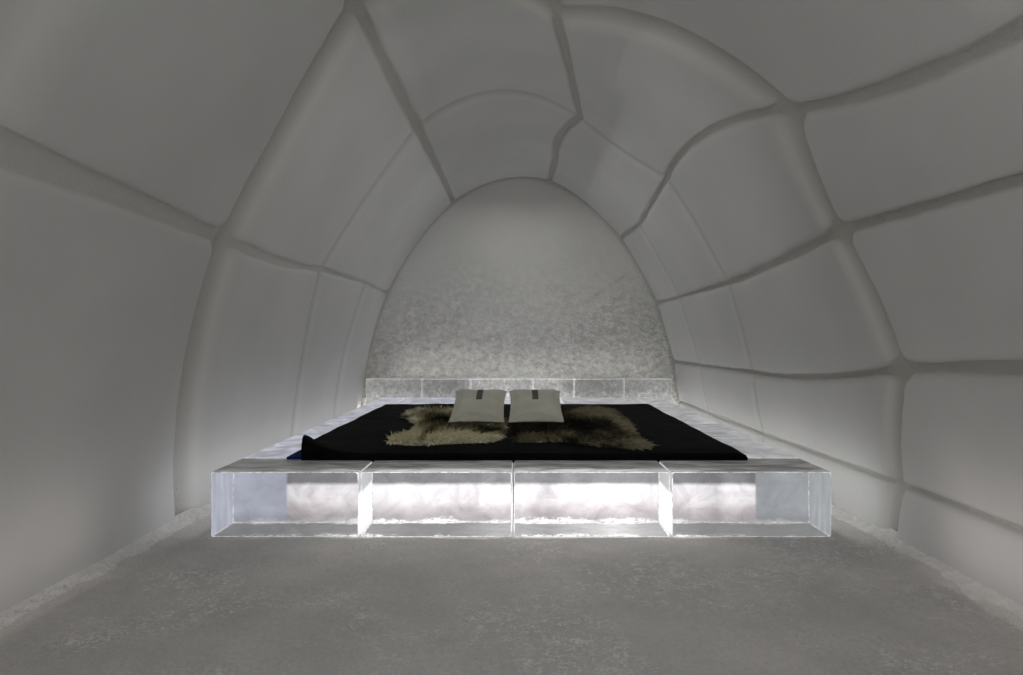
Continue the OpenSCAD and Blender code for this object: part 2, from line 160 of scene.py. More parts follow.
RING_BOW = np.array([
    [0, 0, 0, 0, 0, 0, 0, 0],
    [0.020, 0.030, -0.030, 0.020, 0.010, 0.010, 0, 0],
    [-0.050, 0.080, -0.120, -0.050, 0.020, -0.030, 0.015, 0],
    [0.085, 0.100, -0.140, 0.130, 0, -0.020, 0, 0],
    [0, 0, 0, 0, 0, 0, 0, 0],
    [0, 0, 0, 0, 0, 0, 0, 0],
])
BED_JOINT_CUT = [True, False, False, False, True, True, True, True]

# The hides' outlines: across the room, and distance from the front wall
HIDE_OUTLINES = {
    "left_hide": [
        (-0.655, 2.585), (-0.58, 2.54), (-0.473, 2.52), (-0.38, 2.56), (-0.164, 2.60),
        (-0.11, 2.655), (-0.085, 3.0), (-0.12, 3.6), (-0.30, 3.78), (-0.497, 3.84), (-0.636, 3.91),
        (-0.735, 3.84), (-0.75, 3.57), (-0.66, 3.38), (-0.59, 3.19), (-0.60, 2.84), (-0.66, 2.76),
    ],
    "right_hide": [
        (-0.035, 2.592), (0.108, 2.607), (0.18, 2.64), (0.25, 2.58), (0.367, 2.503), (0.54, 2.428),
        (0.605, 2.44), (0.62, 2.56), (0.596, 2.793), (0.62, 3.063), (0.65, 3.48), (0.635, 3.822),
        (0.579, 3.97), (0.41, 4.02), (0.307, 3.834), (0.10, 3.75), (-0.04, 3.4), (-0.05, 2.9),
    ],
}


# Nodes

def rgba(colour):
    """A colour with its alpha, from three numbers or one grey."""
    return (*colour, 1.0) if isinstance(colour, tuple) else (colour, colour, colour, 1.0)


def plug(value, socket):
    """Links an output to a socket, or sets the socket to a plain value."""
    if isinstance(value, bpy.types.NodeSocket):
        socket.id_data.links.new(value, socket)
    else:
        socket.default_value = rgba(value) if socket.type == "RGBA" else value


def add_node(tree, kind, inputs, **settings):
    """A new node with its settings, and with its inputs by title or number."""
    node = tree.nodes.new(kind)
    for title, value in settings.items():
        setattr(node, title, value)
    for title, value in inputs.items():
        plug(value, node.inputs[title])
    return node


def calc(operation, a, b=0.0):
    """A math node's operation on outputs or plain numbers, one of them an output."""
    tree = (a if isinstance(a, bpy.types.NodeSocket) else b).id_data
    return add_node(tree, "ShaderNodeMath", {0: a, 1: b}, operation=operation).outputs["Value"]


def product(a, b):
    return calc("MULTIPLY", a, b)


def axis_value(place, axis):
    return add_node(place.id_data, "ShaderNodeSeparateXYZ", {"Vector": place}).outputs[axis]


def off_middle(place):
    """The distance from the room's middle line."""
    return calc("ABSOLUTE", axis_value(place, "X"))


def off_half(value):
    return calc("ABSOLUTE", calc("SUBTRACT", value, 0.5))


def noise_value(place, scale, detail=2.0, roughness=0.5, distortion=0.0):
    return add_node(place.id_data, "ShaderNodeTexNoise", {
        "Vector": place, "Scale": scale, "Detail": detail, "Roughness": roughness, "Distortion": distortion,
    }).outputs["Fac"]


def long_noise(place, stretch, detail, roughness=0.5, distortion=0.0, turn=0):
    """Noise with its own scale along each axis, turned about Z in degrees."""
    node = add_node(place.id_data, "ShaderNodeMapping", {
        "Vector": place, "Scale": stretch, "Rotation": (0, 0, math.radians(turn))})
    return noise_value(node.outputs["Vector"], 1.0, detail, roughness, distortion)


def point_value(place, name):
    """A value stored on the mesh's points."""
    return add_node(place.id_data, "ShaderNodeAttribute", {}, attribute_name=name).outputs["Fac"]


def fade(value, start, end, low=0.0, high=1.0, way="SMOOTHSTEP"):
    """A change from low at start to high at end, held beyond them."""
    return add_node(value.id_data, "ShaderNodeMapRange", {
        "Value": value, "From Min": start, "From Max": end, "To Min": low, "To Max": high,
    }, interpolation_type=way).outputs["Result"]


def ramp(value, stops):
    """Colours by a value, from a list of (position, colour)."""
    node = add_node(value.id_data, "ShaderNodeValToRGB", {"Fac": value})
    elements = node.color_ramp.elements
    for element, (position, colour) in zip(elements, (stops[0], stops[-1])):
        element.position, element.color = position, rgba(colour)
    for position, colour in stops[1:-1]:
        elements.new(position).color = rgba(colour)
    return node.outputs["Color"]


def blend(share, first, second, way="MIX"):
    """A share of the second colour on the first. At least one of the three is an output."""
    outputs = [value for value in (share, first, second) if isinstance(value, bpy.types.NodeSocket)]
    node = add_node(outputs[0].id_data, "ShaderNodeMix", {"Factor": share}, data_type="RGBA", blend_type=way)
    colours = [socket for socket in node.inputs if socket.type == "RGBA"]
    plug(first, colours[0])
    plug(second, colours[1])
    return next(socket for socket in node.outputs if socket.type == "RGBA")


def times(first, second):
    return blend(1.0, first, second, "MULTIPLY")


def relief(*layers):
    """A shading normal from layers of (height, distance, strength), each laid on the last."""
    normal = {}
    for height, distance, strength in layers:
        inputs = {"Height": height, "Distance": distance, "Strength": strength, **normal}
        normal = {"Normal": add_node(height.id_data, "ShaderNodeBump", inputs).outputs["Normal"]}
    return normal["Normal"]


def new_material(name):
    """A node material, and the object's coordinates in it."""
    material = bpy.data.materials.new(name)
    material.use_nodes = True
    material.cycles.emission_sampling = "NONE"
    return material, add_node(material.node_tree, "ShaderNodeTexCoord", {}).outputs["Object"]


def shaded(material, inputs):
    """The material with its shader's inputs plugged."""
    shader = material.node_tree.nodes["Principled BSDF"]
    for title, value in inputs.items():
        plug(value, shader.inputs[title])
    return material


# Materials

SNOW_TINT = (0.57, 0.565, 0.55)
SNOW_SHADE = (0.53, 0.527, 0.513)
# The grooves' rough snow, darker partly by its own colour and partly as painted shade; it also colours the end
# wall's painted shade and its scratch
GROOVE_SNOW_AND_SHADE = (0.45, 0.442, 0.405)
# A painted highlight on the ring joints' shoulders
SHOULDER_HIGHLIGHT = (0.63, 0.625, 0.593)
# A painted highlight on the floor's ridges
RIDGE_HIGHLIGHT = (0.92, 0.90, 0.895)
ICE_IOR = 1.31


def snow(name):
    """A snow material, the object's coordinates, and the snow's own colour."""
    material, place = new_material(name)
    shaded(material, {"Roughness": 0.88, "Specular IOR Level": 0.25})
    drift = noise_value(place, 1.7, 2.0, 0.55)
    return material, place, ramp(drift, [(0.35, SNOW_SHADE), (0.65, SNOW_TINT)])


def smooth_snow_material():
    """The vault's blocks: smooth packed snow, rougher and darker in the grooves, where the
    darkness is partly the rough snow's own colour and partly painted shade, with a painted
    highlight on the ring joints' shoulders.
    """
    material, place, tone = snow("smooth_snow")
    # groove: how much rough snow shows, darker partly by its own colour and partly as painted shade
    groove = point_value(place, "groove")
    # shoulder: a painted highlight on the crest of the ring joints' wide shoulders
    tone = blend(point_value(place, "shoulder"), tone, SHOULDER_HIGHLIGHT)
    return shaded(material, {
        "Base Color": blend(groove, tone, GROOVE_SNOW_AND_SHADE),
        "Normal": relief(
            (noise_value(place, 22.0, 2.0, 0.6), 0.02, 0.07),
            (noise_value(place, 46.0, 3.0, 0.68), 0.012, product(groove, 0.9)),
            (noise_value(place, 230.0, 1.0, 0.7), 0.003, 0.3)),
    })


def rough_snow_material():
    """The end walls: crumbly snow, with painted shade on its lower crumbs and in its pits and
    painted highlights on its higher crumbs. On the end wall's room side it is paler, which is
    painted light, roughest low down and nearly smooth at the top, with painted shade along its
    corner with the vault."""
    material, place, tone = snow("rough_snow")
    along = axis_value(place, "Y")
    room_side = product(fade(along, WALL_Y + 0.02, WALL_Y + 0.07, 1.0, 0.0), fade(along, 0.0, 0.5))
    high_up = calc("ADD", axis_value(place, "Z"), noise_value(place, 2.2, 3.0))
    rough = product(fade(high_up, 1.25, 2.30, 1.0, 0.05), room_side)
    rough = calc("ADD", rough, fade(room_side, 0.0, 1.0, 0.4, 0.0))
    clumps = long_noise(place, (16.0, 16.0, 22.0), 4.0, 0.58, 0.5)
    crumbs = noise_value(place, 52.0, 2.0, 0.6, 0.2)
    height = calc("ADD", product(clumps, 0.7), product(crumbs, 0.3))
    # Painted shade on the lower crumbs and painted highlights on the higher ones
    shadows = ramp(height, [
        (0.36, (0.76, 0.755, 0.73)), (0.50, (0.98, 0.98, 0.975)), (0.62, (1.22, 1.22, 1.20))])
    # pits: painted shade in the hollows
    pits = product(fade(noise_value(place, 40.0, 3.0, 0.6), 0.66, 0.74), rough)
    # The painted shade of the pits and of the corner along the vault, and the scratch
    shade_and_scratch = calc("MAXIMUM", product(pits, 0.5), point_value(place, "rim"))
    # pale: the end wall's room side drawn paler, painted light
    pale = times(tone, blend(room_side, 1.0, (1.17, 1.17, 1.155)))
    return shaded(material, {
        "Base Color": blend(shade_and_scratch, times(pale, blend(rough, 1.0, shadows)), GROOVE_SNOW_AND_SHADE),
        "Normal": relief((height, 0.055, rough), (noise_value(place, 150.0, 2.0, 0.7), 0.004, 0.5)),
    })


def trodden_snow_material():
    """The floor: trodden snow with patches of fine crisp ridges between smoother places, painted
    highlights along the ridges, and lighter, warmer patches of painted light.
    """
    material, place, tone = snow("trodden_snow")
    # worn: lighter, warmer patches at random, painted light
    worn = ramp(noise_value(place, 3.4, 3.0, 0.55), [(0.3, (1.02, 1.00, 0.985)), (0.7, (1.17, 1.13, 1.115))])
    lines = [fade(off_half(noise_value(place, scale, 2.0, 0.55, 1.3)), 0.0, width, 1.0, 0.0)
             for scale, width in ((15.0, 0.026), (30.0, 0.040))]
    shown = fade(noise_value(place, 2.4, 2.0, 0.62), 0.44, 0.62)
    broken = fade(noise_value(place, 26.0, 1.0, 0.6), 0.40, 0.52)
    ridges = product(calc("MAXIMUM", *lines), product(shown, broken))
    grit = noise_value(place, 75.0, 2.0, 0.7)
    tone = times(times(tone, worn), ramp(grit, [(0.3, 0.90), (0.7, 1.04)]))
    return shaded(material, {
        # The ridges drawn paler: painted highlight
        "Base Color": blend(product(ridges, 0.70), tone, RIDGE_HIGHLIGHT),
        "Normal": relief(
            (ridges, 0.003, 0.5), (grit, 0.007, 0.55), (noise_value(place, 160.0, 1.0, 0.7), 0.002, 0.5)),
    })


def loose_snow_material():
    """Crumbly snow along the wall feet, paler than the other snow and palest on its higher
    lumps: painted light.
    """
    material, place, tone = snow("loose_snow")
    lumps = noise_value(place, 30.0, 4.0, 0.62, 0.5)
    return shaded(material, {
        # Paler overall and palest on the higher lumps: painted light
        "Base Color": times(tone, ramp(lumps, [(0.3, (1.10, 1.09, 1.08)), (0.65, (1.36, 1.34, 1.33))])),
        "Normal": relief((lumps, 0.018, 0.8), (noise_value(place, 140.0, 3.0, 0.7), 0.004, 0.7)),
    })


def clear_ice_material():
    """Clear ice with wavy melted faces and a faint cloudy glow, painted light scattered in the ice."""
    material, place = new_material("clear_ice")
    # A faint cloudy glow: painted light
    inner_glow = noise_value(place, 7.0, 3.0, 0.65, 0.8)
    return shaded(material, {
        "Base Color": (0.93, 0.95, 0.98), "Roughness": 0.08, "IOR": ICE_IOR, "Transmission Weight": 1.0,
        "Emission Color": ramp(inner_glow, [(0.35, (0.010, 0.010, 0.011)), (0.75, (0.055, 0.055, 0.058))]),
        "Emission Strength": 1.0,
        "Normal": relief((noise_value(place, 11.0, 2.0, 0.4), 0.008, 0.3),
                         (noise_value(place, 70.0, 2.0, 0.5), 0.001, 0.3)),
    })


def glow_material(name, roughness, glow_at):
    """Frosted ice that shines with a glow worked out from the place."""
    material, place = new_material(name)
    return shaded(material, {
        "Base Color": 0.12, "Roughness": roughness, "Emission Color": glow_at(place), "Emission Strength": 1.0,
        "Normal": relief((noise_value(place, 60.0, 2.0, 0.7), 0.004, 0.6)),
    })


def board_levels(place, levels):
    """Greys along the bed board, from its left end to its right end."""
    return ramp(fade(axis_value(place, "X"), BOARD_LOW[0], BOARD_HIGH[0], way="LINEAR"), levels)


def up_the_bed(place):
    """0 at the floor to 1 at the bed's top."""
    return fade(axis_value(place, "Z"), FLOOR_Z, BED_TOP, way="LINEAR")


def rightward(place, left, right, reach=0.5):
    """A colour for the bed's left end, passing to one for its right end."""
    return blend(fade(axis_value(place, "X"), -reach, reach), left, right)


def frosted(place, glow, from_edge, least, most):
    """A glow with white frost along an edge, from least to most wide, greyer at the ends."""
    crumbs = long_noise(place, (34.0, 90.0, 90.0), 5.0, 0.72, 0.5)
    wide = fade(long_noise(place, (6.0, 2.0, 2.0), 3.0), 0.35, 0.68, least, most)
    reach = product(fade(crumbs, 0.30, 0.66), wide)
    white = times((1.0, 0.98, 0.98), fade(off_middle(place), 0.58, 0.90, 1.1, 0.36))
    return blend(fade(calc("SUBTRACT", reach, from_edge), -0.009, 0.006), glow, white)


def far_glow(place):
    """The far faces: glowing over the lamps, grey behind the board and bluish at the ends."""
    upright = up_the_bed(place)
    by_height = ramp(upright, [
        (0.0, (0.42, 0.39, 0.39)), (0.12, (0.52, 0.47, 0.48)), (0.22, (0.70, 0.64, 0.65)),
        (0.34, (1.0, 0.95, 0.96)), (0.58, (1.12, 1.10, 1.11)), (0.64, (0.235, 0.235, 0.24)),
        (1.0, (0.24, 0.24, 0.245))])
    spots = board_levels(place, [
        (0.0, 0.58), (0.07, 0.82), (0.12, 0.76), (0.215, 0.84), (0.26, 1.04), (0.36, 0.94), (0.42, 1.1),
        (0.50, 1.1), (0.56, 0.88), (0.60, 1.25), (0.73, 1.25), (0.775, 0.92), (0.83, 0.82), (0.87, 0.92),
        (0.92, 0.64), (0.94, 0.88), (1.0, 0.74)])
    clouds = long_noise(place, (8.0, 8.0, 9.0), 6.0, 0.66, 0.9)
    patches = ramp(clouds, [(0.35, (0.74, 0.70, 0.71)), (0.60, 1.10)])
    over_lamps = times(times(by_height, spots), patches)
    ends = rightward(place, (0.33, 0.34, 0.405), (0.30, 0.31, 0.325))
    ends = times(ends, ramp(clouds, [(0.35, 0.86), (0.65, 1.08)]))
    ends = times(ends, fade(upright, 0.0, 0.25, 0.72, 1.0))
    board_middle, board_half = (BOARD_LOW[0] + BOARD_HIGH[0]) / 2, (BOARD_HIGH[0] - BOARD_LOW[0]) / 2
    off_board = calc("ABSOLUTE", calc("SUBTRACT", axis_value(place, "X"), board_middle))
    glow = blend(fade(off_board, board_half - 0.006, board_half + 0.006), over_lamps, ends)
    return frosted(place, glow, calc("SUBTRACT", axis_value(place, "Z"), FLOOR_Z), 0.003, 0.026)


def under_glow(place):
    """The undersides: the grey floor seen through the ice, with frost along both edges."""
    levels = board_levels(place, [
        (0.0, 0.13), (0.20, 0.20), (0.35, 0.17), (0.45, 0.36), (0.55, 0.30), (0.62, 0.46), (0.69, 0.70),
        (0.76, 0.40), (0.82, 0.20), (0.88, 0.15), (1.0, 0.17)])
    clouds = long_noise(place, (14.0, 30.0, 30.0), 5.0, 0.66, 0.6)
    patches = ramp(clouds, [(0.35, (0.80, 0.79, 0.75)), (0.62, (1.12, 1.10, 1.08))])
    from_front = calc("SUBTRACT", axis_value(place, "Y"), BED_LOW[1])
    from_back = calc("SUBTRACT", BED_HIGH[1] - BED_LOW[1], from_front)
    near_edge = calc("MINIMUM", product(from_front, 0.45), from_back)
    return frosted(place, times(levels, patches), near_edge, 0.004, 0.042)


def side_glow(place):
    """The faces between the blocks: a white glow, partly frost and partly painted light, greyer high up and at
    the bed's ends.
    """
    by_height = ramp(up_the_bed(place), [
        (0.0, (0.75, 0.74, 0.74)), (0.2, (1.15, 1.13, 1.13)), (0.60, 1.25), (0.70, 0.42), (1.0, 0.50)])
    at_end = fade(off_middle(place), BED_HIGH[0] - 0.12, BED_HIGH[0] - 0.02)
    streaks = long_noise(place, (20.0, 20.0, 4.0), 3.0, 0.6, 0.4)
    ends = rightward(place, (0.33, 0.34, 0.40), (0.27, 0.28, 0.29))
    return blend(at_end, by_height, times(ends, ramp(streaks, [(0.40, 0.94), (0.66, 1.25)])))


def edge_glow(place):
    """The blocks' worn edges, glowing white: partly frost, partly painted highlight."""
    bits = ramp(noise_value(place, 34.0, 5.0, 0.7), [(0.38, 0.42), (0.60, 1.0)])
    return times(bits, fade(off_middle(place), 0.58, 0.90, 1.1, 0.66))


def head_glow(place):
    """The headboard: the crumbly wall seen through the ice, whitest low down and at the
    middle."""
    across = off_middle(place)
    level = calc("MAXIMUM", fade(across, 0.30, 0.60, 0.32, 0.16), fade(across, 0.7, 1.35, 0.16, 0.22))
    level = product(level, fade(axis_value(place, "Z"), BED_TOP + 0.01, BED_TOP + 0.09, 1.4, 1.0))
    grains = noise_value(place, 34.0, 4.0, 0.64, 0.5)
    bits = ramp(grains, [(0.36, (0.70, 0.69, 0.67)), (0.64, (1.3, 1.3, 1.28))])
    veins = fade(off_half(long_noise(place, (5.0, 5.0, 3.0), 4.0, 0.6, 0.6)), 0.0, 0.012, 1.55, 1.0)
    return times(times(bits, level), veins)


def worn_ice_material():
    """The front row's top faces: grey ice dulled by wear, lit along its front edge."""
    material, place = new_material("worn_ice")
    cloud = long_noise(place, (5.0, 22.0, 22.0), 6.0, 0.66, 0.8)
    from_front = calc("SUBTRACT", axis_value(place, "Y"), BED_LOW[1])
    band = product(fade(from_front, 0.02, 0.10, 0.42, 0.0), fade(off_middle(place), 0.45, 0.95, 1.0, 0.15))
    lit = times(ramp(cloud, [(0.42, 0.35), (0.58, (1.0, 0.99, 1.0))]), band)
    return shaded(material, {
        "Base Color": ramp(cloud, [(0.33, (0.20, 0.20, 0.195)), (0.66, (0.40, 0.395, 0.39))]),
        "Roughness": 0.35, "IOR": ICE_IOR,
        "Emission Color": blend(1.0, ramp(cloud, [(0.40, 0.02), (0.70, 0.13)]), lit, "ADD"),
        "Emission Strength": 1.0,
        "Normal": relief((noise_value(place, 40.0, 4.0, 0.6), 0.003, 0.5)),
    })


def cloudy_ice_material():
    """The side rows' milky ice, lit through from the lamps below."""
    material, place = new_material("cloudy_ice")
    cloud = noise_value(place, 7.0, 8.0, 0.70, 0.8)
    glow = ramp(cloud, [(0.36, (0.07, 0.07, 0.074)), (0.64, (0.27, 0.27, 0.28))])
    return shaded(material, {
        "Base Color": ramp(cloud, [(0.3, (0.55, 0.56, 0.58)), (0.7, (0.80, 0.81, 0.82))]),
        "Roughness": 0.25, "IOR": ICE_IOR, "Transmission Weight": 0.2,
        "Emission Color": times(glow, rightward(place, (1.08, 1.10, 1.26), 0.88, reach=0.6)),
        "Emission Strength": 1.0,
        "Normal": relief((noise_value(place, 13.0, 3.0, 0.5), 0.008, 0.3),
                         (noise_value(place, 90.0, 3.0, 0.6), 0.002, 0.4)),
    })


def lamp_material():
    """A frosted lamp tube that gives off white light."""
    material, place = new_material("lamp_glow")
    glow = ramp(noise_value(place, 4.0), [(0.3, (1.0, 0.93, 0.94)), (0.7, (1.0, 0.98, 0.98))])
    return shaded(material, {"Base Color": (0.9, 0.9, 0.88), "Emission Color": glow, "Emission Strength": 3.0})


def board_material():
    """A plain sawn board with its grain along the bed."""
    material, place = new_material("bed_board_wood")
    grain = long_noise(place, (44.0, 2.4, 44.0), 5.0, 0.6)
    return shaded(material, {
        "Base Color": ramp(grain, [(0.3, (0.22, 0.22, 0.23)), (0.7, (0.36, 0.36, 0.37))]),
        "Roughness": 0.8, "Normal": relief((grain, 0.002, 0.4)),
    })


def cloth_material(name, tint, shade, weave, sheen, height):
    """Woven cloth: two sets of threads crossing, with a soft sheen."""
    material, place = new_material(name)
    threads = [
        add_node(material.node_tree, "ShaderNodeTexWave", {"Vector": place, "Scale": weave, "Distortion": 0.6},
                 bands_direction=axis).outputs["Fac"] for axis in ("X", "Y")]
    return shaded(material, {
        "Base Color": ramp(noise_value(place, 6.0, 3.0), [(0.35, shade), (0.65, tint)]),
        "Roughness": 0.92, "Specular IOR Level": 0.15, "Sheen Weight": sheen,
        "Normal": relief((product(*threads), 0.001, height)),
    })


def hair_material(name, dark, middle, light, light_spots, dark_spots, turn):
    """Thick hair in patches, light around some places and dark around others. A place is
    its X, its distance from the front wall, its reach across and along, and its strength."""
    material, place = new_material(name)
    patches = long_noise(place, (6.0, 2.6, 6.0), 4.0, 0.6, 0.6, turn)
    streaks = long_noise(place, (80.0, 14.0, 30.0), 3.0, 0.6)
    tone = calc("ADD", patches, product(streaks, 0.30))
    for sign, spots in ((1, light_spots), (-1, dark_spots)):
        for x, y, reach_x, reach_y, strength in spots:
            away = add_node(material.node_tree, "ShaderNodeMapping", {
                "Vector": place, "Location": (x, y + FRONT_Y, 0), "Scale": (reach_x, reach_y, 50.0),
            }, vector_type="TEXTURE").outputs["Vector"]
            away = add_node(material.node_tree, "ShaderNodeVectorMath", {0: away}, operation="LENGTH")
            tone = calc("ADD", tone, fade(away.outputs["Value"], 0.2, 1.1, sign * strength, 0.0))
    return shaded(material, {
        "Base Color": ramp(tone, [(0.40, dark), (0.61, middle), (0.85, light)]),
        "Roughness": 0.7, "Specular IOR Level": 0.3, "Normal": relief((streaks, 0.002, 0.5)),
    })


smooth_snow = smooth_snow_material()
rough_snow = rough_snow_material()
trodden_snow = trodden_snow_material()
loose_snow = loose_snow_material()
clear_ice = clear_ice_material()
far_ice = glow_material("far_ice", 0.6, far_glow)
under_ice = glow_material("under_ice", 0.6, under_glow)
side_ice = glow_material("side_ice", 0.5, side_glow)
# Edges glowing white: partly frost, partly painted highlight
frost_and_highlight_edge = glow_material("frost_and_highlight_edge", 0.5, edge_glow)
head_ice = glow_material("head_ice", 0.3, head_glow)
worn_ice = worn_ice_material()
cloudy_ice = cloudy_ice_material()
lamp_glow = lamp_material()
board_wood = board_material()
blanket_cloth = cloth_material(
    "blanket_cloth", (0.0045, 0.0045, 0.005), (0.002, 0.002, 0.0023), 420.0, 0.0, 0.4)
mat_foam = cloth_material("mat_foam", (0.010, 0.040, 0.155), (0.008, 0.030, 0.12), 90.0, 0.0, 0.3)
pillow_cloth = cloth_material("pillow_cloth", (0.50, 0.49, 0.41), (0.43, 0.42, 0.35), 300.0, 0.2, 0.4)
tab_cloth = cloth_material("tab_cloth", (0.10, 0.10, 0.085), (0.07, 0.07, 0.06), 700.0, 0.1, 0.5)
pale_hair = hair_material(
    "pale_hair", (0.030, 0.024, 0.012), (0.26, 0.235, 0.135), (0.80, 0.76, 0.57),
    [(-0.50, 2.60, 0.30, 0.35, 0.30), (-0.25, 2.66, 0.22, 0.30, 0.22), (-0.66, 3.05, 0.10, 0.50, 0.25),
     (-0.70, 3.70, 0.10, 0.25, 0.25), (-0.42, 3.72, 0.10, 0.25, 0.15)],
    [(-0.50, 3.25, 0.12, 0.30, 0.30), (-0.48, 2.72, 0.035, 0.30, 0.22), (-0.20, 2.90, 0.20, 0.16, 0.25),
     (-0.36, 2.62, 0.05, 0.10, 0.12)], 10)
dark_hair = hair_material(
    "dark_hair", (0.010, 0.008, 0.005), (0.050, 0.043, 0.026), (0.30, 0.265, 0.17),
    [(0.50, 3.62, 0.20, 0.34, 0.32), (0.60, 3.10, 0.10, 0.45, 0.22), (0.05, 2.66, 0.09, 0.14, 0.30),
     (0.20, 2.70, 0.10, 0.12, 0.25), (0.58, 2.50, 0.14, 0.14, 0.22)],
    [(0.38, 3.05, 0.16, 0.40, 0.25), (0.28, 3.80, 0.10, 0.20, 0.10)], 25)


# Mesh helpers


SHARPEST_SMOOTH = math.radians(50)


def finish_piece(piece, material, smooth=True):
    """Gives a piece its finish and lets it ride on the only body."""
    mesh = piece.data
    if material is not None:
        mesh.materials.clear()
        mesh.materials.append(material)
    mesh.polygons.foreach_set("use_smooth", [smooth] * len(mesh.polygons))
    if smooth:
        mesh.set_sharp_from_angle(angle=SHARPEST_SMOOTH)
    mesh.update()
    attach(piece, "root")
    return piece


def new_piece(name, mesh):
    piece = bpy.data.objects.new(name, mesh)
    bpy.context.scene.collection.objects.link(piece)
    return piece


def add_piece(name, mesh, material, smooth=True):
    return finish_piece(new_piece(name, mesh), material, smooth)


def outward(mesh):
    """Turns a closed mesh's faces outwards."""
    work = bmesh.new()
    work.from_mesh(mesh)
    bmesh.ops.recalc_face_normals(work, faces=work.faces)
    work.to_mesh(mesh)
    work.free()
    return mesh


def slab_mesh(name, front, back, values=None):
    """A closed mesh between two grids of points, with the same rows and columns. values
    are named numbers on the front grid's points."""
    rows, columns = front.shape[:2]
    count = rows * columns
    points = np.concatenate([front.reshape(-1, 3), back.reshape(-1, 3)])
    index = np.arange(count).reshape(rows, columns)
    a, b, c, d = index[:-1, :-1], index[1:, :-1], index[1:, 1:], index[:-1, 1:]
    face = np.stack([a, b, c, d], axis=-1).reshape(-1, 4)
    rim = np.concatenate([index[0, :], index[1:, -1], index[-1, -2::-1], index[-2:0:-1, 0]])
    turned = np.roll(rim, -1)
    sides = np.stack([turned, rim, rim + count, turned + count], axis=-1)
    faces = np.concatenate([face, face[:, ::-1] + count, sides])
    mesh = bpy.data.meshes.new(name)
    mesh.from_pydata(points.tolist(), [], faces.tolist())
    for title, grid in (values or {}).items():
        set_values(mesh, title, np.concatenate([grid.ravel(), np.zeros(count)]))
    mesh.update()
    return outward(mesh)


def ripple(points, size, seed):
    """Smooth noise from -1 to 1 at each point, with features of one size in metres."""
    flat = points.reshape(-1, 3) / size + seed * 7.31
    values = [noise.noise(Vector(p)) for p in flat]
    return np.array(values).reshape(points.shape[:-1])


def grid(xs, ys, z):
    x, y = np.meshgrid(xs, ys, indexing="ij")
    return np.stack([x, y, np.full_like(x, z)], axis=-1)


def applied(piece):
    """Turns a piece's modifiers into its plain mesh."""
    graph = bpy.context.evaluated_depsgraph_get()
    result = bpy.data.meshes.new_from_object(piece.evaluated_get(graph))
    piece.modifiers.clear()
    old = piece.data
    piece.data = result
    bpy.data.meshes.remove(old)
    return piece


def remeshed(piece, voxel):
    """Gives a piece one even mesh, with faces of a size in metres."""
    remesh = piece.modifiers.new("fine", "REMESH")
    remesh.mode = "VOXEL"
    remesh.voxel_size = voxel
    return applied(piece).data


def mesh_points(mesh, what="co"):
    values = np.empty(len(mesh.vertices) * 3)
    mesh.vertices.foreach_get(what, values)
    return values.reshape(-1, 3)


def set_points(mesh, points):
    mesh.vertices.foreach_set("co", points.ravel())
    mesh.update()


def set_values(mesh, title, values):
    """Stores a number, or a vector of three, at each of a mesh's points."""
    kind, what = ("FLOAT", "value") if values.ndim == 1 else ("FLOAT_VECTOR", "vector")
    mesh.attributes.new(title, kind, "POINT").data.foreach_set(what, values.ravel())


# The vault's blocks

def section(angle, side, top):
    """X and Z of the vault's section at an angle, grown by a thickness."""
    turn = np.radians(np.clip(angle, 0, 180))
    c, s = np.cos(turn), np.sin(turn)
    r = (np.abs(c) ** VAULT_CURVE + np.abs(s) ** VAULT_CURVE) ** (-1 / VAULT_CURVE)
    below = np.where(angle > 180, 180 - angle, np.where(angle < 0, angle, 0)) / GROUND_ANGLE
    return (HALF_W + side) * r * c, (ROOM_H + top) * r * s + FLOOR_Z * (1 + below)


def bow(t):
    return 4 * t * (1 - t)


def mix(a, b, t):
    return a + (b - a) * t


def corner(ring, seam):
    return np.array([NET_ANGLE[ring][seam], NET_DISTANCE[ring][seam]])


def net_field(ring, seam, u, v):
    """Angle and distance of points in one field, blended from its four edges."""
    u, v = u[..., None], v[..., None]
    c00, c10 = corner(ring, seam), corner(ring, seam + 1)
    c01, c11 = corner(ring + 1, seam), corner(ring + 1, seam + 1)

    def ring_edge(at, first, last):
        return mix(first, last, u) + np.array([0, RING_BOW[at][seam]]) * bow(u)

    def seam_edge(at, first, last):
        return mix(first, last, v) + np.array([SEAM_BOW[ring][at], 0]) * bow(v)

    rings = mix(ring_edge(ring, c00, c10), ring_edge(ring + 1, c01, c11), v)
    seams = mix(seam_edge(seam, c00, c01), seam_edge(seam + 1, c10, c11), u)
    corners = mix(mix(c00, c10, u), mix(c01, c11, u), v)
    return rings + seams - corners


def field_arc(seam):
    ends = [np.array(section(np.array(NET_ANGLE[2][s]), 0, 0)) for s in (seam, seam + 1)]
    return float(np.linalg.norm(ends[0] - ends[1]))


def field_run(ring):
    return float(NET_DISTANCE[ring + 1][4] - NET_DISTANCE[ring][4])


def deep_ring(ring):
    return 0 < ring <= LAST_DEEP_RING


def faint_ring(ring, seam):
    return not deep_ring(ring) and (ring != BED_RING or BED_JOINT_CUT[seam])


def seam_half(seam, ring, v):
    """Half the width of a seam's groove, which narrows towards the end wall."""
    distance = mix(NET_DISTANCE[ring][seam], NET_DISTANCE[ring + 1][seam], v)
    return SEAM_HALF_W[seam] * (SEAM_END_HALF_W[seam] / SEAM_HALF_W[seam]) ** (distance / ROOM_L)


# Distances of grid lines past the edge of a groove's floor, close together over its lip
PAST_EDGE = np.array([3, 6, 9, 13, 19, 27, 38, 54, 74, 98, 128, 166, 212, 270]) / 1000


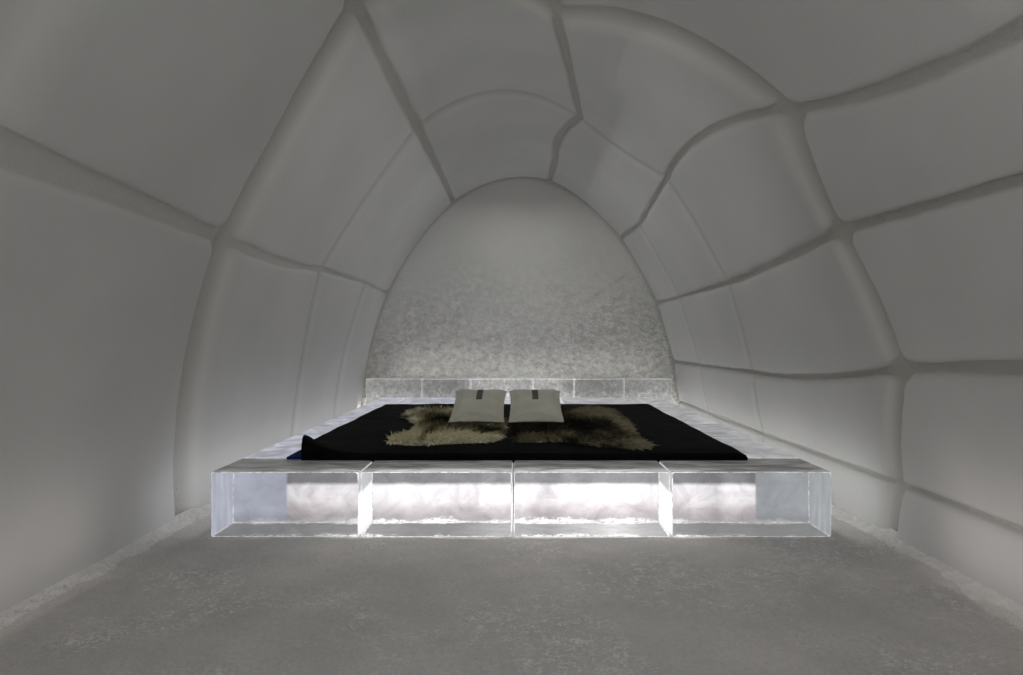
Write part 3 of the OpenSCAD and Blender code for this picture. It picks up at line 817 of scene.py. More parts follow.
def grid_lines(length, first, last):
    """Lines from 0 to 1 between two grooves of half widths first and last."""
    def groove_lines(half):
        half = half[..., None]
        room = np.minimum(1, (length / 2 - half - 0.01) / PAST_EDGE[-1])
        return np.concatenate([half * np.array([0, 0.4, 0.8, 1]), half + room * PAST_EDGE], axis=-1)

    near, far = groove_lines(first), length - groove_lines(last)[..., ::-1]
    steps = np.linspace(0, 1, max(3, round((length - 0.6) / 0.07)) + 2)[1:-1]
    middle = mix(near[..., -1:], far[..., :1], steps)
    return np.concatenate([near, middle, far], axis=-1) / length


def field_grid(ring, seam):
    """The grid of u and v in one field. Neighbours share the lines on their common edges."""
    arc, run = field_arc(seam), field_run(ring)
    rows = grid_lines(arc, np.array(0.0), np.array(0.0)).size
    near_u = np.linspace(0, 1, rows)
    floor_w = np.full_like(near_u, RING_FLOOR_W)
    v = grid_lines(run, floor_w, floor_w)
    u = grid_lines(arc, seam_half(seam, ring, v), seam_half(seam + 1, ring, v))
    return np.einsum("iji->ij", u), v


def seam_profile(past):
    """Depth of a seam's groove past the edge of its floor: a steep lip, then a soft edge."""
    lip = LIP_SHARE * np.clip(1 - past / LIP_W, 0, 1) ** 1.5
    return lip + (1 - LIP_SHARE) * np.clip(1 - past / EDGE_ROUND, 0, 1) ** 1.3


def ring_profile(past, reach):
    """Depth of a ring joint past the edge of its floor, easing out over the reach."""
    t = np.clip(past / reach, 0, 1)
    return 1 - t * t * (3 - 2 * t)


def past_edge(t, length, first_cut, last_cut, first_half, last_half):
    """How far a point lies past the floors of the grooves at its field's two ends."""
    first = t * length - first_half if first_cut else np.full_like(t, FAR)
    last = (1 - t) * length - last_half if last_cut else np.full_like(t, FAR)
    return np.minimum(first, last)


def ring_reach(seam, u, v, multiple):
    """How far a ring joint's edge eases out: a crisp edge before it, a wide shoulder beyond."""
    shoulder = multiple * mix(RING_HALF_W[seam], RING_HALF_W[seam + 1], u)
    return np.where(v < 0.5, shoulder, NEAR_LIP)


def deep_share(past_seam, past_ring, reach, radius, share):
    """Share of the full depth where a seam and a deep ring joint are near, with the
    block's corner rounded off, and how far each point lies past the corner's edge."""
    a, b = radius - past_seam, radius - past_ring
    lean = a ** 2 / np.maximum(a ** 2 + b ** 2, 1e-9)
    past_corner = np.where((a > 0) & (b > 0), radius - np.hypot(a, b), FAR)
    corner_share = mix(ring_profile(past_corner, reach), share * seam_profile(past_corner), lean)
    edge_share = np.maximum(ring_profile(past_ring, reach), share * seam_profile(past_seam))
    return np.maximum(edge_share, corner_share), past_corner


def rough_and_shade_share(past, reach, v):
    """How much rough, darker snow shows at a ring joint, its darkness partly its own colour and
    partly painted shade: all on its floor, and less and less up the lower half of the wide shoulder."""
    shoulder = np.clip(1.15 - past / (0.44 * reach), 0, 1)
    return np.where(v < 0.5, shoulder, np.clip((0.003 - past) / 0.006, 0, 1))


def highlight_share(past, reach, v):
    """The crest of a ring joint's wide shoulder, which gets a painted highlight."""
    return np.where(v < 0.5, np.exp(-((past / reach - 0.62) / 0.20) ** 2), 0)


def field_points(ring, seam):
    """Points of one field on the room side and on the outside, how much rough, darker snow
    shows at each point, its darkness partly its own colour and partly painted shade, and
    where the shoulders get a painted highlight."""
    u, v = field_grid(ring, seam)
    net = net_field(ring, seam, u, v)
    angle, distance = net[..., 0], net[..., 1]
    arc, run = field_arc(seam), field_run(ring)
    x, z = section(angle, 0, 0)
    flat = np.stack([x, distance + FRONT_Y, z], axis=-1)
    stray = 0.007 * ripple(flat, 0.24, 1) + 0.004 * ripple(flat, 0.06, 2)
    half_a, half_b = seam_half(seam, ring, v), seam_half(seam + 1, ring, v)
    past_seam = past_edge(u, arc, seam > 0, seam + 1 < LAST_SEAM, half_a, half_b) + stray
    floors = (RING_FLOOR_W, RING_FLOOR_W)
    past_deep = past_edge(v, run, deep_ring(ring), deep_ring(ring + 1), *floors) + stray * 0.5
    past_faint = past_edge(v, run, faint_ring(ring, seam), faint_ring(ring + 1, seam), *floors) + stray * 0.4
    seam_at = np.where(u < 0.5, seam, seam + 1)
    deep_reach, faint_reach = ring_reach(seam, u, v, DEEP_REACH), ring_reach(seam, u, v, FAINT_REACH)
    radius = np.where(v < 0.5, CORNER_ROUND[seam_at], np.minimum(CORNER_ROUND[seam_at] / 2, NEAR_CORNER))
    share, past_corner = deep_share(past_seam, past_deep, deep_reach, radius, SEAM_SHARE[seam_at])
    cut = np.maximum(share, FAINT_SHARE * ring_profile(past_faint, faint_reach))
    # rough: how much rough snow shows, darker partly by its own colour and partly as painted shade
    rough = np.maximum.reduce([
        SEAM_ROUGH_AND_SHADE[seam_at] * np.clip((0.004 - np.minimum(past_seam, past_corner)) / 0.006, 0, 1),
        rough_and_shade_share(past_deep, deep_reach, v),
        FAINT_ROUGH_AND_SHADE * rough_and_shade_share(past_faint, faint_reach, v),
    ])
    faint_highlight = FAINT_HIGHLIGHT * highlight_share(past_faint, faint_reach, v)
    # pale: where the shoulders get a painted highlight
    pale = np.maximum(highlight_share(past_deep, deep_reach, v), faint_highlight) * np.clip(past_seam / 0.05, 0, 1)
    swell = BLOCK_SWELL * np.sin(math.pi * u) - 0.007 * ripple(flat, 0.55, 3) * (1 - cut)
    x, z = section(angle, GROOVE_DEPTH * cut - swell, GROOVE_DEPTH * cut - swell)
    room_side = np.stack([x, distance + FRONT_Y, z], axis=-1)
    weather = 0.010 * ripple(flat, 0.4, 5) + 0.004 * ripple(flat, 0.09, 6)
    outer = OUTER_GROOVE_DEPTH * cut + 0.006 + weather * (1 - cut)
    x, z = section(angle, FOOT_T - outer, CROWN_T - outer)
    outside = np.stack([x, distance + FRONT_Y, z], axis=-1)
    return room_side, outside, rough, pale


def vault_block(row, bay):
    """One named block: the fields of its row and bay, joined along their shared edges."""
    seams, rings = range(*ROWS[row]), range(*BAYS[bay])
    fields = {(seam, ring): field_points(ring, seam) for seam in seams for ring in rings}
    layers = []
    for layer in range(4):
        rows = []
        for seam in seams:
            strips = [fields[seam, ring][layer] for ring in rings]
            strip = np.concatenate(strips[:1] + [part[:, 1:] for part in strips[1:]], axis=1)
            rows.append(strip if seam == seams[0] else strip[1:])
        layers.append(np.concatenate(rows, axis=0))
    room_side, outside, rough, pale = layers
    node = f"{row}_block_{bay + 1}"
    # groove holds the rough snow and painted shade of the grooves, shoulder the painted highlight on the
    # shoulders
    mesh = slab_mesh(node + "_snow", room_side, outside, {"groove": rough, "shoulder": pale})
    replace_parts(add_piece("snow_" + node, mesh, smooth_snow), node)


def make_vault():
    for row in ROWS:
        for bay in range(len(BAYS)):
            vault_block(row, bay)


# End walls, floor and banks

def snow_wall(node, voxel, waves):
    """A wall's solid with softened edges and an uneven skin. waves is a list of sizes and
    heights, in metres."""
    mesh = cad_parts[node].data.copy()
    mesh.name = node + "_snow"
    work = bmesh.new()
    work.from_mesh(mesh)
    bmesh.ops.remove_doubles(work, verts=work.verts, dist=1e-5)
    work.to_mesh(mesh)
    work.free()
    piece = new_piece("snow_" + node, mesh)
    mesh = remeshed(piece, voxel)
    points = mesh_points(mesh)
    height = np.clip(1.25 - (points[:, 2] - FLOOR_Z) / 1.8, 0.25, 1.0)
    push = sum(reach * ripple(points, size, seed) for seed, (size, reach) in enumerate(waves)) * height
    points = points + mesh_points(mesh, "normal") * (push - 0.003)[:, None]
    points[:, 2] = np.maximum(points[:, 2], 0)
    set_points(mesh, points)
    # rim: the end wall's painted shade along the vault, and its scratch
    set_values(mesh, "rim", corner_shade_and_scratch(points) if node == "end_wall" else np.zeros(len(points)))
    finish_piece(piece, rough_snow)
    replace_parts(piece, node)


def corner_shade_and_scratch(points):
    """How dark the end wall's snow is drawn: painted shade along its corner with the vault, and one scratch.
    """
    x, z = np.abs(points[:, 0]) / HALF_W, np.maximum(points[:, 2] - FLOOR_Z, 0) / ROOM_H
    grown = np.maximum((x ** VAULT_CURVE + z ** VAULT_CURVE) ** (1 / VAULT_CURVE), 0.1)
    off_arch = np.hypot(points[:, 0], points[:, 2] - FLOOR_Z) * np.abs(1 - 1 / grown)
    start, end = SCRATCH + [0, FLOOR_Z]
    place = points[:, [0, 2]] - start
    along = np.clip(place @ (end - start) / np.sum((end - start) ** 2), 0, 1)
    off_scratch = np.linalg.norm(place - along[:, None] * (end - start), axis=1)
    scratch = np.clip(1 - off_scratch / SCRATCH_W, 0, 1) * np.clip(0.5 + ripple(points, 0.05, 41), 0, 1)
    shade_and_scratch = np.maximum(np.clip(1 - off_arch / CORNER_SHADE_W, 0, 1), scratch)
    return shade_and_scratch * (points[:, 1] < WALL_Y + 0.06)


def make_end_walls():
    snow_wall("end_wall", 0.026, [(0.34, 0.007), (0.11, 0.006), (0.055, 0.007)])
    for node in ("front_wall_left", "front_wall_right", "front_wall_top"):
        snow_wall(node, 0.034, [(0.34, 0.007), (0.11, 0.005), (0.055, 0.004)])


def make_floor():
    """Trodden snow, close-meshed where one walks and coarse under the bed."""
    bed_front = BED_LOW[1] + 0.05
    xs = np.linspace(FLOOR_LOW[0], FLOOR_HIGH[0], 150)
    ys = np.concatenate([np.linspace(FRONT_Y, bed_front, 110), np.linspace(bed_front, WALL_Y, 22)[1:]])
    top = grid(xs, ys, FLOOR_Z)
    bumps = 0.007 * ripple(top, 0.40, 11) + 0.005 * ripple(top, 0.13, 12) + 0.003 * ripple(top, 0.05, 13)
    pits = np.clip(ripple(top, 0.08, 14) - 0.40, 0, 1) * 0.025
    calm = np.clip((bed_front - top[..., 1]) / 0.1, 0, 1)
    top[..., 2] += (bumps - pits) * calm - 0.004
    mesh = slab_mesh("floor_mesh", top, grid(xs, ys, 0))
    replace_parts(add_piece("trodden_floor", mesh, trodden_snow), "snow_floor")


# Geometry Nodes: small shapes scattered over a piece

def node_tree(name, inputs):
    """A Geometry Nodes tree with named inputs, as a list of (title, socket type)."""
    tree = bpy.data.node_groups.new(name, "GeometryNodeTree")
    tree.interface.new_socket("Geometry", in_out="INPUT", socket_type="NodeSocketGeometry")
    for title, kind in inputs:
        tree.interface.new_socket(title, in_out="INPUT", socket_type=kind)
    tree.interface.new_socket("Geometry", in_out="OUTPUT", socket_type="NodeSocketGeometry")
    return tree


def grow(piece, tree, values):
    """Runs a tree on a piece with values for its named inputs, and keeps the plain mesh."""
    modifier = piece.modifiers.new(tree.name, "NODES")
    modifier.node_group = tree
    for item in tree.interface.items_tree:
        if item.in_out == "INPUT" and item.name in values:
            modifier[item.identifier] = values[item.name]
    return applied(piece)


def scatter_tree(name, shape):
    """Scatters a small shape over a mesh, thicker where the point value "amount" is high,
    and lays each along the point vector "lay"."""
    tree = node_tree(name, [
        ("Density", "NodeSocketFloat"), ("Seed", "NodeSocketInt"), ("Smallest", "NodeSocketFloat"),
        ("Largest", "NodeSocketFloat"), ("Turn", "NodeSocketFloat"), ("Material", "NodeSocketMaterial"),
    ])
    given = add_node(tree, "NodeGroupInput", {}).outputs
    seed = given["Seed"]

    def stored(title, kind):
        node = add_node(tree, "GeometryNodeInputNamedAttribute", {"Name": title}, data_type=kind)
        return node.outputs["Attribute"]

    density = product(given["Density"], stored("amount", "FLOAT"))
    points = add_node(tree, "GeometryNodeDistributePointsOnFaces", {
        "Mesh": given["Geometry"], "Density": density, "Seed": seed})
    along = add_node(
        tree, "FunctionNodeAlignRotationToVector", {"Vector": stored("lay", "FLOAT_VECTOR")}, axis="Z")
    turn = add_node(tree, "FunctionNodeRandomValue", {
        "Min": product(given["Turn"], -1.0), "Max": given["Turn"], "Seed": seed}, data_type="FLOAT_VECTOR")
    turned = add_node(tree, "FunctionNodeRotateRotation", {
        "Rotation": along.outputs["Rotation"], "Rotate By": turn.outputs["Value"]}, rotation_space="LOCAL")
    size = add_node(tree, "FunctionNodeRandomValue", {
        2: given["Smallest"], 3: given["Largest"], "Seed": seed}, data_type="FLOAT")
    spread = add_node(tree, "GeometryNodeInstanceOnPoints", {
        "Points": points.outputs["Points"], "Instance": shape(tree), "Rotation": turned.outputs["Rotation"],
        "Scale": size.outputs[1]})
    real = add_node(tree, "GeometryNodeRealizeInstances", {"Geometry": spread.outputs["Instances"]})
    joined = add_node(tree, "GeometryNodeJoinGeometry", {"Geometry": real.outputs["Geometry"]})
    plug(given["Geometry"], joined.inputs["Geometry"])
    finish = add_node(tree, "GeometryNodeSetMaterial", {
        "Geometry": joined.outputs["Geometry"], "Material": given["Material"]})
    add_node(tree, "NodeGroupOutput", {"Geometry": finish.outputs["Geometry"]})
    return tree


def moved(tree, shape, offset):
    """A small mesh with its points moved."""
    node = add_node(tree, "GeometryNodeSetPosition", {"Geometry": shape.outputs["Mesh"], "Offset": offset})
    return node.outputs["Geometry"]


def crumb_shape(tree):
    """A small uneven lump of snow."""
    ball = add_node(tree, "GeometryNodeMeshIcoSphere", {"Radius": 0.5, "Subdivisions": 2})
    lumps = add_node(tree, "ShaderNodeTexNoise", {"Scale": 1.6}).outputs["Color"]
    dents = add_node(tree, "ShaderNodeVectorMath", {0: lumps, 1: (0.5, 0.5, 0.5)}, operation="SUBTRACT")
    return moved(tree, ball, dents.outputs["Vector"])


def tuft_shape(tree):
    """One tuft of hair, a thin curved cone of length 1."""
    cone = add_node(tree, "GeometryNodeMeshCone", {
        "Vertices": 3, "Side Segments": 2, "Radius Top": 0.01, "Radius Bottom": 0.10, "Depth": 1.0,
    }, fill_type="NONE")
    height = axis_value(add_node(tree, "GeometryNodeInputPosition", {}).outputs["Position"], "Z")
    bend = add_node(tree, "ShaderNodeCombineXYZ", {"X": product(calc("POWER", height, 2.0), 0.22)})
    return moved(tree, cone, bend.outputs["Vector"])


# The banks of loose snow

def bank_mesh(side):
    """A low ledge along a wall foot with an uneven crumbly edge."""
    ys = np.linspace(BANK_LOW[1], BANK_HIGH[1], 360)
    steps = np.linspace(0, 1, 16)
    foot = np.stack([np.full_like(ys, side * HALF_W), ys, np.full_like(ys, FLOOR_Z)], axis=-1)
    width = BANK_W * np.clip(0.74 + 0.30 * ripple(foot, 0.50, 31) + 0.22 * ripple(foot, 0.12, 32), 0.25, 1)
    height = BANK_H * np.clip(0.62 + 0.45 * ripple(foot, 0.36, 33), 0.3, 1)
    reach = np.outer(width, steps)
    lean = (1 - steps) ** 1.5
    top = np.stack([
        side * (HALF_W + 0.012 - reach * 1.06),
        np.outer(ys, np.ones_like(steps)),
        FLOOR_Z - 0.008 + np.outer(height + 0.008, lean),
    ], axis=-1)
    lumps = 0.008 * ripple(top, 0.07, 35) + 0.005 * ripple(top, 0.03, 36)
    top[..., 2] += lumps * np.sqrt(steps) * (1 - steps)
    bottom = top.copy()
    bottom[..., 2] = FLOOR_Z - 0.012
    mesh = slab_mesh("bank_mesh", top, bottom)
    crumbly = np.exp(-((steps - 0.62) / 0.30) ** 2)
    amount = np.clip(np.outer(0.2 + ripple(foot, 0.3, 37), crumbly), 0, 1)
    set_values(mesh, "amount", np.concatenate([amount.ravel(), np.zeros(amount.size)]))
    set_values(mesh, "lay", np.tile([0.0, 0.0, 1.0], (2 * amount.size, 1)))
    return mesh


def make_banks():
    crumbs = scatter_tree("snow_crumbs", crumb_shape)
    halves = []
    for seed, side in enumerate((-1, 1)):
        piece = new_piece(f"bank_{side}", bank_mesh(side))
        values = {"Density": 900.0, "Seed": seed + 3, "Smallest": 0.005, "Largest": 0.020, "Turn": 3.1,
                  "Material": loose_snow}
        halves.append(grow(piece, crumbs, values))
    bank = halves[0]
    with bpy.context.temp_override(
            active_object=bank, selected_editable_objects=halves, selected_objects=halves):
        bpy.ops.object.join()
    bank.name = "loose_snow_banks"
    finish_piece(bank, loose_snow)
    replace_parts(bank, "foot_banks")


# The ice bed

def islands(node):
    """The boxes of the separate solids in a node."""
    work = bmesh.new()
    work.from_mesh(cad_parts[node].data)
    bmesh.ops.remove_doubles(work, verts=work.verts, dist=1e-5)
    seen, boxes = set(), []
    for start in work.verts:
        if start in seen:
            continue
        stack, group = [start], []
        seen.add(start)
        while stack:
            v = stack.pop()
            group.append(v.co.copy())
            for edge in v.link_edges:
                other = edge.other_vert(v)
                if other not in seen:
                    seen.add(other)
                    stack.append(other)
        low = Vector(min(p[i] for p in group) for i in range(3))
        high = Vector(max(p[i] for p in group) for i in range(3))
        boxes.append((low, high))
    work.free()
    return boxes


def ice_blocks(node, materials, choose):
    """Sawn ice blocks with worn edges. choose gives a face's material by its normal."""
    work = bmesh.new()
    for low, high in islands(node):
        made = bmesh.ops.create_cube(work, size=1.0)["verts"]
        size, centre = high - low, (low + high) / 2
        for v in made:
            v.co = Vector(centre[i] + v.co[i] * size[i] for i in range(3))
        edges = {edge for v in made for edge in v.link_edges}
        bmesh.ops.bevel(work, geom=list(edges), offset=0.009, segments=3, profile=0.6, affect="EDGES")
    work.normal_update()
    for face in work.faces:
        face.material_index = choose(face.normal)
    mesh = bpy.data.meshes.new(node + "_ice")
    work.to_mesh(mesh)
    work.free()
    for material in materials:
        mesh.materials.append(material)
    piece = new_piece("ice_of_" + node, mesh)
    finish_piece(piece, None)
    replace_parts(piece, node)


def make_bed():
    flat = 0.99

    def front_row(normal):
        faces = [normal.y < -flat, normal.y > flat, normal.z < -flat, abs(normal.x) > flat, normal.z > flat]
        if any(faces):
            return faces.index(True)
        return 4 if normal.z > 0.2 and normal.y > -0.2 else 5

    def edges_last(normal):
        return 0 if max(abs(part) for part in normal) > flat else 1

    ice_blocks("ice_front_row", [clear_ice, far_ice, under_ice, side_ice, worn_ice, frost_and_highlight_edge], front_row)
    ice_blocks("ice_side_rows", [cloudy_ice, frost_and_highlight_edge], edges_last)
    ice_blocks("ice_headboard", [head_ice, frost_and_highlight_edge], edges_last)
    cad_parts["bed_board"].data.materials[0] = board_wood
    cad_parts["light_strips"].data.materials[0] = lamp_glow


# Mat and blanket

def make_mat():
    low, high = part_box("foam_mat")
    xs, ys = np.linspace(low[0], high[0], 60), np.linspace(low[1], high[1], 60)
    unevenness = 0.0015
    top = grid(xs, ys, high[2] - unevenness)
    top[..., 2] += unevenness * ripple(top, 0.12, 20)
    mesh = slab_mesh("mat_mesh", top, grid(xs, ys, low[2]))
    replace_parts(add_piece("thin_foam_mat", mesh, mat_foam, smooth=False), "foam_mat")


BLANKET_THICK = 0.015
BLANKET_HANG = 0.040


def make_blanket():
    """The blanket lies on the mat in soft waves, hangs over its front edge to the ice and
    curls up at its front left corner."""
    low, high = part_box("blanket")
    mat_low, mat_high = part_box("foam_mat")
    length = high[1] - mat_low[1]
    across = np.linspace(0, 1, 112)
    run = np.concatenate([np.linspace(-BLANKET_HANG, 0, 9), np.linspace(0, length, 104)[1:]])
    u, t = np.meshgrid(across, run, indexing="ij")
    left = np.interp(run, [0, 0.34, length], [low[0] + 0.065, low[0], low[0] + 0.005])
    right = np.interp(run, [0, length], [high[0], high[0] - 0.010])
    x = mix(left[None, :], right[None, :], u)
    bend_r = 0.004 + BLANKET_THICK / 2
    hang = np.maximum(-t, 0)
    turn = np.minimum(hang / bend_r, math.pi / 2)
    drop = bend_r * (1 - np.cos(turn)) + np.maximum(hang - bend_r * math.pi / 2, 0)
    y = mat_low[1] + np.maximum(t, 0) - bend_r * np.sin(turn)
    flat = np.stack([x, y, np.zeros_like(x)], axis=-1)
    waves = 0.5 + 0.5 * ripple(flat, 0.42, 21) + 0.35 * ripple(flat, 0.15, 22)
    calm = np.clip(t / 0.10, 0.15, 1)
    lying = BLANKET_THICK / 2 + 0.001 + 0.009 * waves * calm
    inward = x - left[None, :]
    curl = 0.045 * np.exp(-(inward / 0.13) ** 2) + 0.030 * np.exp(-(inward / 0.035) ** 2)
    curl = curl * np.exp(-(np.maximum(t - 0.02, 0) / 0.17) ** 2) * (1 - hang / BLANKET_HANG)
    over_edge = 0.010 * np.clip((x - mat_high[0]) / 0.03, 0, 1)
    z = mat_high[2] + lying - drop + curl - over_edge
    middle = np.stack([x, y, z], axis=-1)
    normal = np.stack([np.zeros_like(x), -np.sin(turn), np.cos(turn)], axis=-1)
    half = normal * BLANKET_THICK / 2
    mesh = slab_mesh("blanket_mesh", middle + half, middle - half)
    piece = add_piece("laid_blanket", mesh, blanket_cloth)
    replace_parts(piece, "blanket")


# Hides

def smooth_outline(points, rounds=2):
    """Cuts an outline's corners to round it."""
    points = np.array(points)
    for _ in range(rounds):
        after = np.roll(points, -1, axis=0)
        points = np.stack([mix(points, after, 0.25), mix(points, after, 0.75)], axis=1).reshape(-1, 2)
    return points


def edge_of_outline(outline, places):
    """For each place, its distance inside the outline, below 0 outside, and the nearest
    point of the outline."""
    start, end = outline, np.roll(outline, -1, axis=0)
    step = end - start
    share = ((places[:, None] - start) * step).sum(-1) / (step ** 2).sum(-1)
    near = start + np.clip(share, 0, 1)[..., None] * step
    gap = np.linalg.norm(places[:, None] - near, axis=-1)
    best = gap.argmin(axis=1)
    rows = np.arange(len(places))
    px, py = places[:, None, 0], places[:, None, 1]
    crosses = (start[:, 1] > py) != (end[:, 1] > py)
    where = start[:, 0] + (py - start[:, 1]) / np.where(step[:, 1] == 0, 1e-9, step[:, 1]) * step[:, 0]
    inside = (crosses & (px < where)).sum(axis=1) % 2 == 1
    return np.where(inside, 1, -1) * gap[rows, best], near[rows, best]


def hide_mesh(node, base_z, cell=0.011):
    """A lobed hide, thickest away from its edges, with the lay of its hair stored on it."""
    outline = smooth_outline(HIDE_OUTLINES[node]) + np.array([0, FRONT_Y])
    low, high = outline.min(axis=0), outline.max(axis=0)
    xs, ys = np.arange(low[0], high[0] + cell, cell), np.arange(low[1], high[1] + cell, cell)
    places = np.stack(np.meshgrid(xs, ys, indexing="ij"), axis=-1)
    depth, near = edge_of_outline(outline, places.reshape(-1, 2))
    depth, near = depth.reshape(places.shape[:2]), near.reshape(places.shape)
    keep = depth > -0.45 * cell
    snap = keep & (depth < 0.55 * cell)
    places[snap] = near[snap]
    depth = np.where(snap, 0, depth)
    flat = np.concatenate([places, np.zeros(places.shape[:2] + (1,))], axis=-1)
    folds = 0.007 * ripple(flat, 0.20, 41) + 0.004 * ripple(flat, 0.08, 42)
    rise = 1 - np.exp(-np.maximum(depth, 0) / 0.03)
    top = flat.copy()
    top[..., 2] = base_z + 0.003 + (0.014 + folds) * rise
    bottom = flat.copy()
    bottom[..., 2] = base_z
    low_end, high_end = slice(None, -1), slice(1, None)
    corners = [(low_end, low_end), (high_end, low_end), (high_end, high_end), (low_end, high_end)]
    cells = np.logical_and.reduce([keep[at] for at in corners])
    used = np.zeros_like(keep)
    for at in corners:
        used[at] |= cells
    count = int(used.sum())
    number = -np.ones(keep.shape, dtype=int)
    number[used] = np.arange(count)
    quads = np.stack([number[at] for at in corners], axis=-1)[cells]
    edges = dict.fromkeys((a, b) for quad in quads.tolist() for a, b in zip(quad, quad[1:] + quad[:1]))
    sides = [(b, a, a + count, b + count) for a, b in edges if (b, a) not in edges]
    faces = quads.tolist() + (quads[:, ::-1] + count).tolist() + sides
    mesh = bpy.data.meshes.new(node + "_hair")
    mesh.from_pydata(np.concatenate([top[used], bottom[used]]).tolist(), [], faces)
    outward(mesh)
    away = (places - (low + high) / 2) / (high - low)
    lay = np.stack([away[..., 0] * 1.1 + 0.35 * ripple(flat, 0.12, 43),
                    away[..., 1] * 0.8 - 0.50 + 0.35 * ripple(flat, 0.12, 44),
                    0.26 - 0.22 * np.exp(-np.maximum(depth, 0) / 0.02)], axis=-1)
    set_values(mesh, "lay", np.concatenate([lay[used], lay[used]]))
    set_values(mesh, "amount", np.repeat([1.0, 0.0], count))
    return mesh


def make_hides():
    tufts = scatter_tree("hair_tufts", tuft_shape)
    base_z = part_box("left_hide")[0][2] - 0.004
    for seed, (node, material) in enumerate((("left_hide", pale_hair), ("right_hide", dark_hair))):
        piece = new_piece("hair_" + node, hide_mesh(node, base_z))
        values = {"Density": 12500.0, "Seed": seed + 8, "Smallest": 0.020, "Largest": 0.052, "Turn": 0.45,
                  "Material": material}
        grow(piece, tufts, values)
        finish_piece(piece, material)
        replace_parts(piece, node)


# Pillows

# The cloth starts this far below and over the node's lowest front corner
PILLOW_START = np.array([0, -0.004, 0.002])


def pillow_grid(low, high, side):
    """The start of one side of a pillow: pointed corners, sides that pull in between them,
    a nearly flat face and a fuller underside that rests on the hides."""
    width = high[0] - low[0]
    u, v = np.meshgrid(np.linspace(0, 1, 40), np.linspace(0, 1, 50), indexing="ij")
    pull = 0.030
    x = width / 2 + (width + 0.022) * (u - 0.5) * (1 - pull * 2 * bow(v))
    along = PILLOW_L * (0.5 + (v - 0.5) * (1 - pull * bow(u)))
    fullness = np.clip(bow(u) * bow(v), 0, 1) ** 0.42
    lift = fullness * (0.026 if side > 0 else -0.085)
    start = np.array(low) + PILLOW_START
    points = start + x[..., None] * [1, 0, 0] + along[..., None] * UP_PILLOW + lift[..., None] * OFF_PILLOW
    points[..., 2] = np.maximum(points[..., 2], start[2])
    return points


def inflated(piece, most_move, lowest):
    """Swells a closed piece as cloth under pressure, and limits how far a point moves."""
    start = mesh_points(piece.data)
    steps = 20
    cloth = piece.modifiers.new("cloth", "CLOTH")
    cloth.settings.quality = 6
    cloth.settings.use_pressure = True
    cloth.settings.uniform_pressure_force = 4.0
    cloth.settings.effector_weights.gravity = 0.0
    cloth.settings.tension_stiffness = 8.0
    cloth.settings.bending_stiffness = 0.2
    cloth.point_cache.frame_start, cloth.point_cache.frame_end = 1, steps
    for step in range(1, steps + 1):
        bpy.context.scene.frame_set(step)
    graph = bpy.context.evaluated_depsgraph_get()
    swollen = bpy.data.meshes.new_from_object(piece.evaluated_get(graph))
    move = mesh_points(swollen) - start
    bpy.data.meshes.remove(swollen)
    piece.modifiers.clear()
    bpy.context.scene.frame_set(1)
    far = np.linalg.norm(move, axis=1)
    move *= np.minimum(1, most_move / np.maximum(far, 1e-9))[:, None]
    points = start + move
    points[:, 2] = np.maximum(points[:, 2], lowest)
    set_points(piece.data, points)


def pillow_tab(pillow, node, low, high):
    """A plain sewn tab of dark cloth, laid on the pillow's face."""
    cloth = BVHTree.FromObject(pillow, bpy.context.evaluated_depsgraph_get())
    front = np.array([(low[0] + high[0]) / 2, low[1], low[2]])
    face = np.empty((7, 22, 3))
    for i, across in enumerate(np.linspace(-0.018, 0.018, 7)):
        for j, along in enumerate(np.linspace(PILLOW_L * 0.50, PILLOW_L * 0.88, 22)):
            over = front + [across, 0, 0] + along * UP_PILLOW + 0.3 * OFF_PILLOW
            face[i, j] = cloth.ray_cast(Vector(over), Vector(-OFF_PILLOW))[0]
    mesh = slab_mesh(node + "_tab", face + 0.0030 * OFF_PILLOW, face - 0.0005 * OFF_PILLOW)
    add_piece("tab_" + node, mesh, tab_cloth)


def make_pillow(node):
    low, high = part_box(node)
    mesh = slab_mesh(node + "_cloth", pillow_grid(low, high, 1), pillow_grid(low, high, -1))
    piece = new_piece("soft_" + node, mesh)
    remeshed(piece, 0.0095)
    inflated(piece, 0.014, low[2] + PILLOW_START[2])
    subdivide = piece.modifiers.new("soft", "SUBSURF")
    subdivide.levels = subdivide.render_levels = 1
    applied(piece)
    mesh = piece.data
    points = mesh_points(mesh)
    place = points - np.array(low) - PILLOW_START
    across, along, height = place[:, 0], place @ UP_PILLOW, place @ OFF_PILLOW
    near_edge = np.minimum.reduce([across, high[0] - low[0] - across, along, PILLOW_L - along])
    seam = np.exp(-(height / 0.004) ** 2) * (near_edge < 0.03)
    set_points(mesh, points + mesh_points(mesh, "normal") * (0.0025 * seam)[:, None])
    finish_piece(piece, pillow_cloth)
    pillow_tab(piece, node, low, high)
    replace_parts(piece, node)


def make_pillows():
    for node in ("left_pillow", "right_pillow"):
        make_pillow(node)


# Camera, lamps and ground

def make_camera():
    camera = new_piece("camera", bpy.data.cameras.new("camera"))
    camera.location = (0.0, WALL_Y - EYE_TO_END_WALL, FLOOR_Z + EYE_HEIGHT)
    camera.rotation_euler = (math.radians(90), 0, 0)
    camera.data.sensor_width = 36.0
    camera.data.lens = FOCAL_PX / PHOTO_W * 36.0
    camera.data.shift_x = -(VANISHING_X - PHOTO_W / 2) / PHOTO_W
    camera.data.clip_start = 0.05
    bpy.context.scene.camera = camera


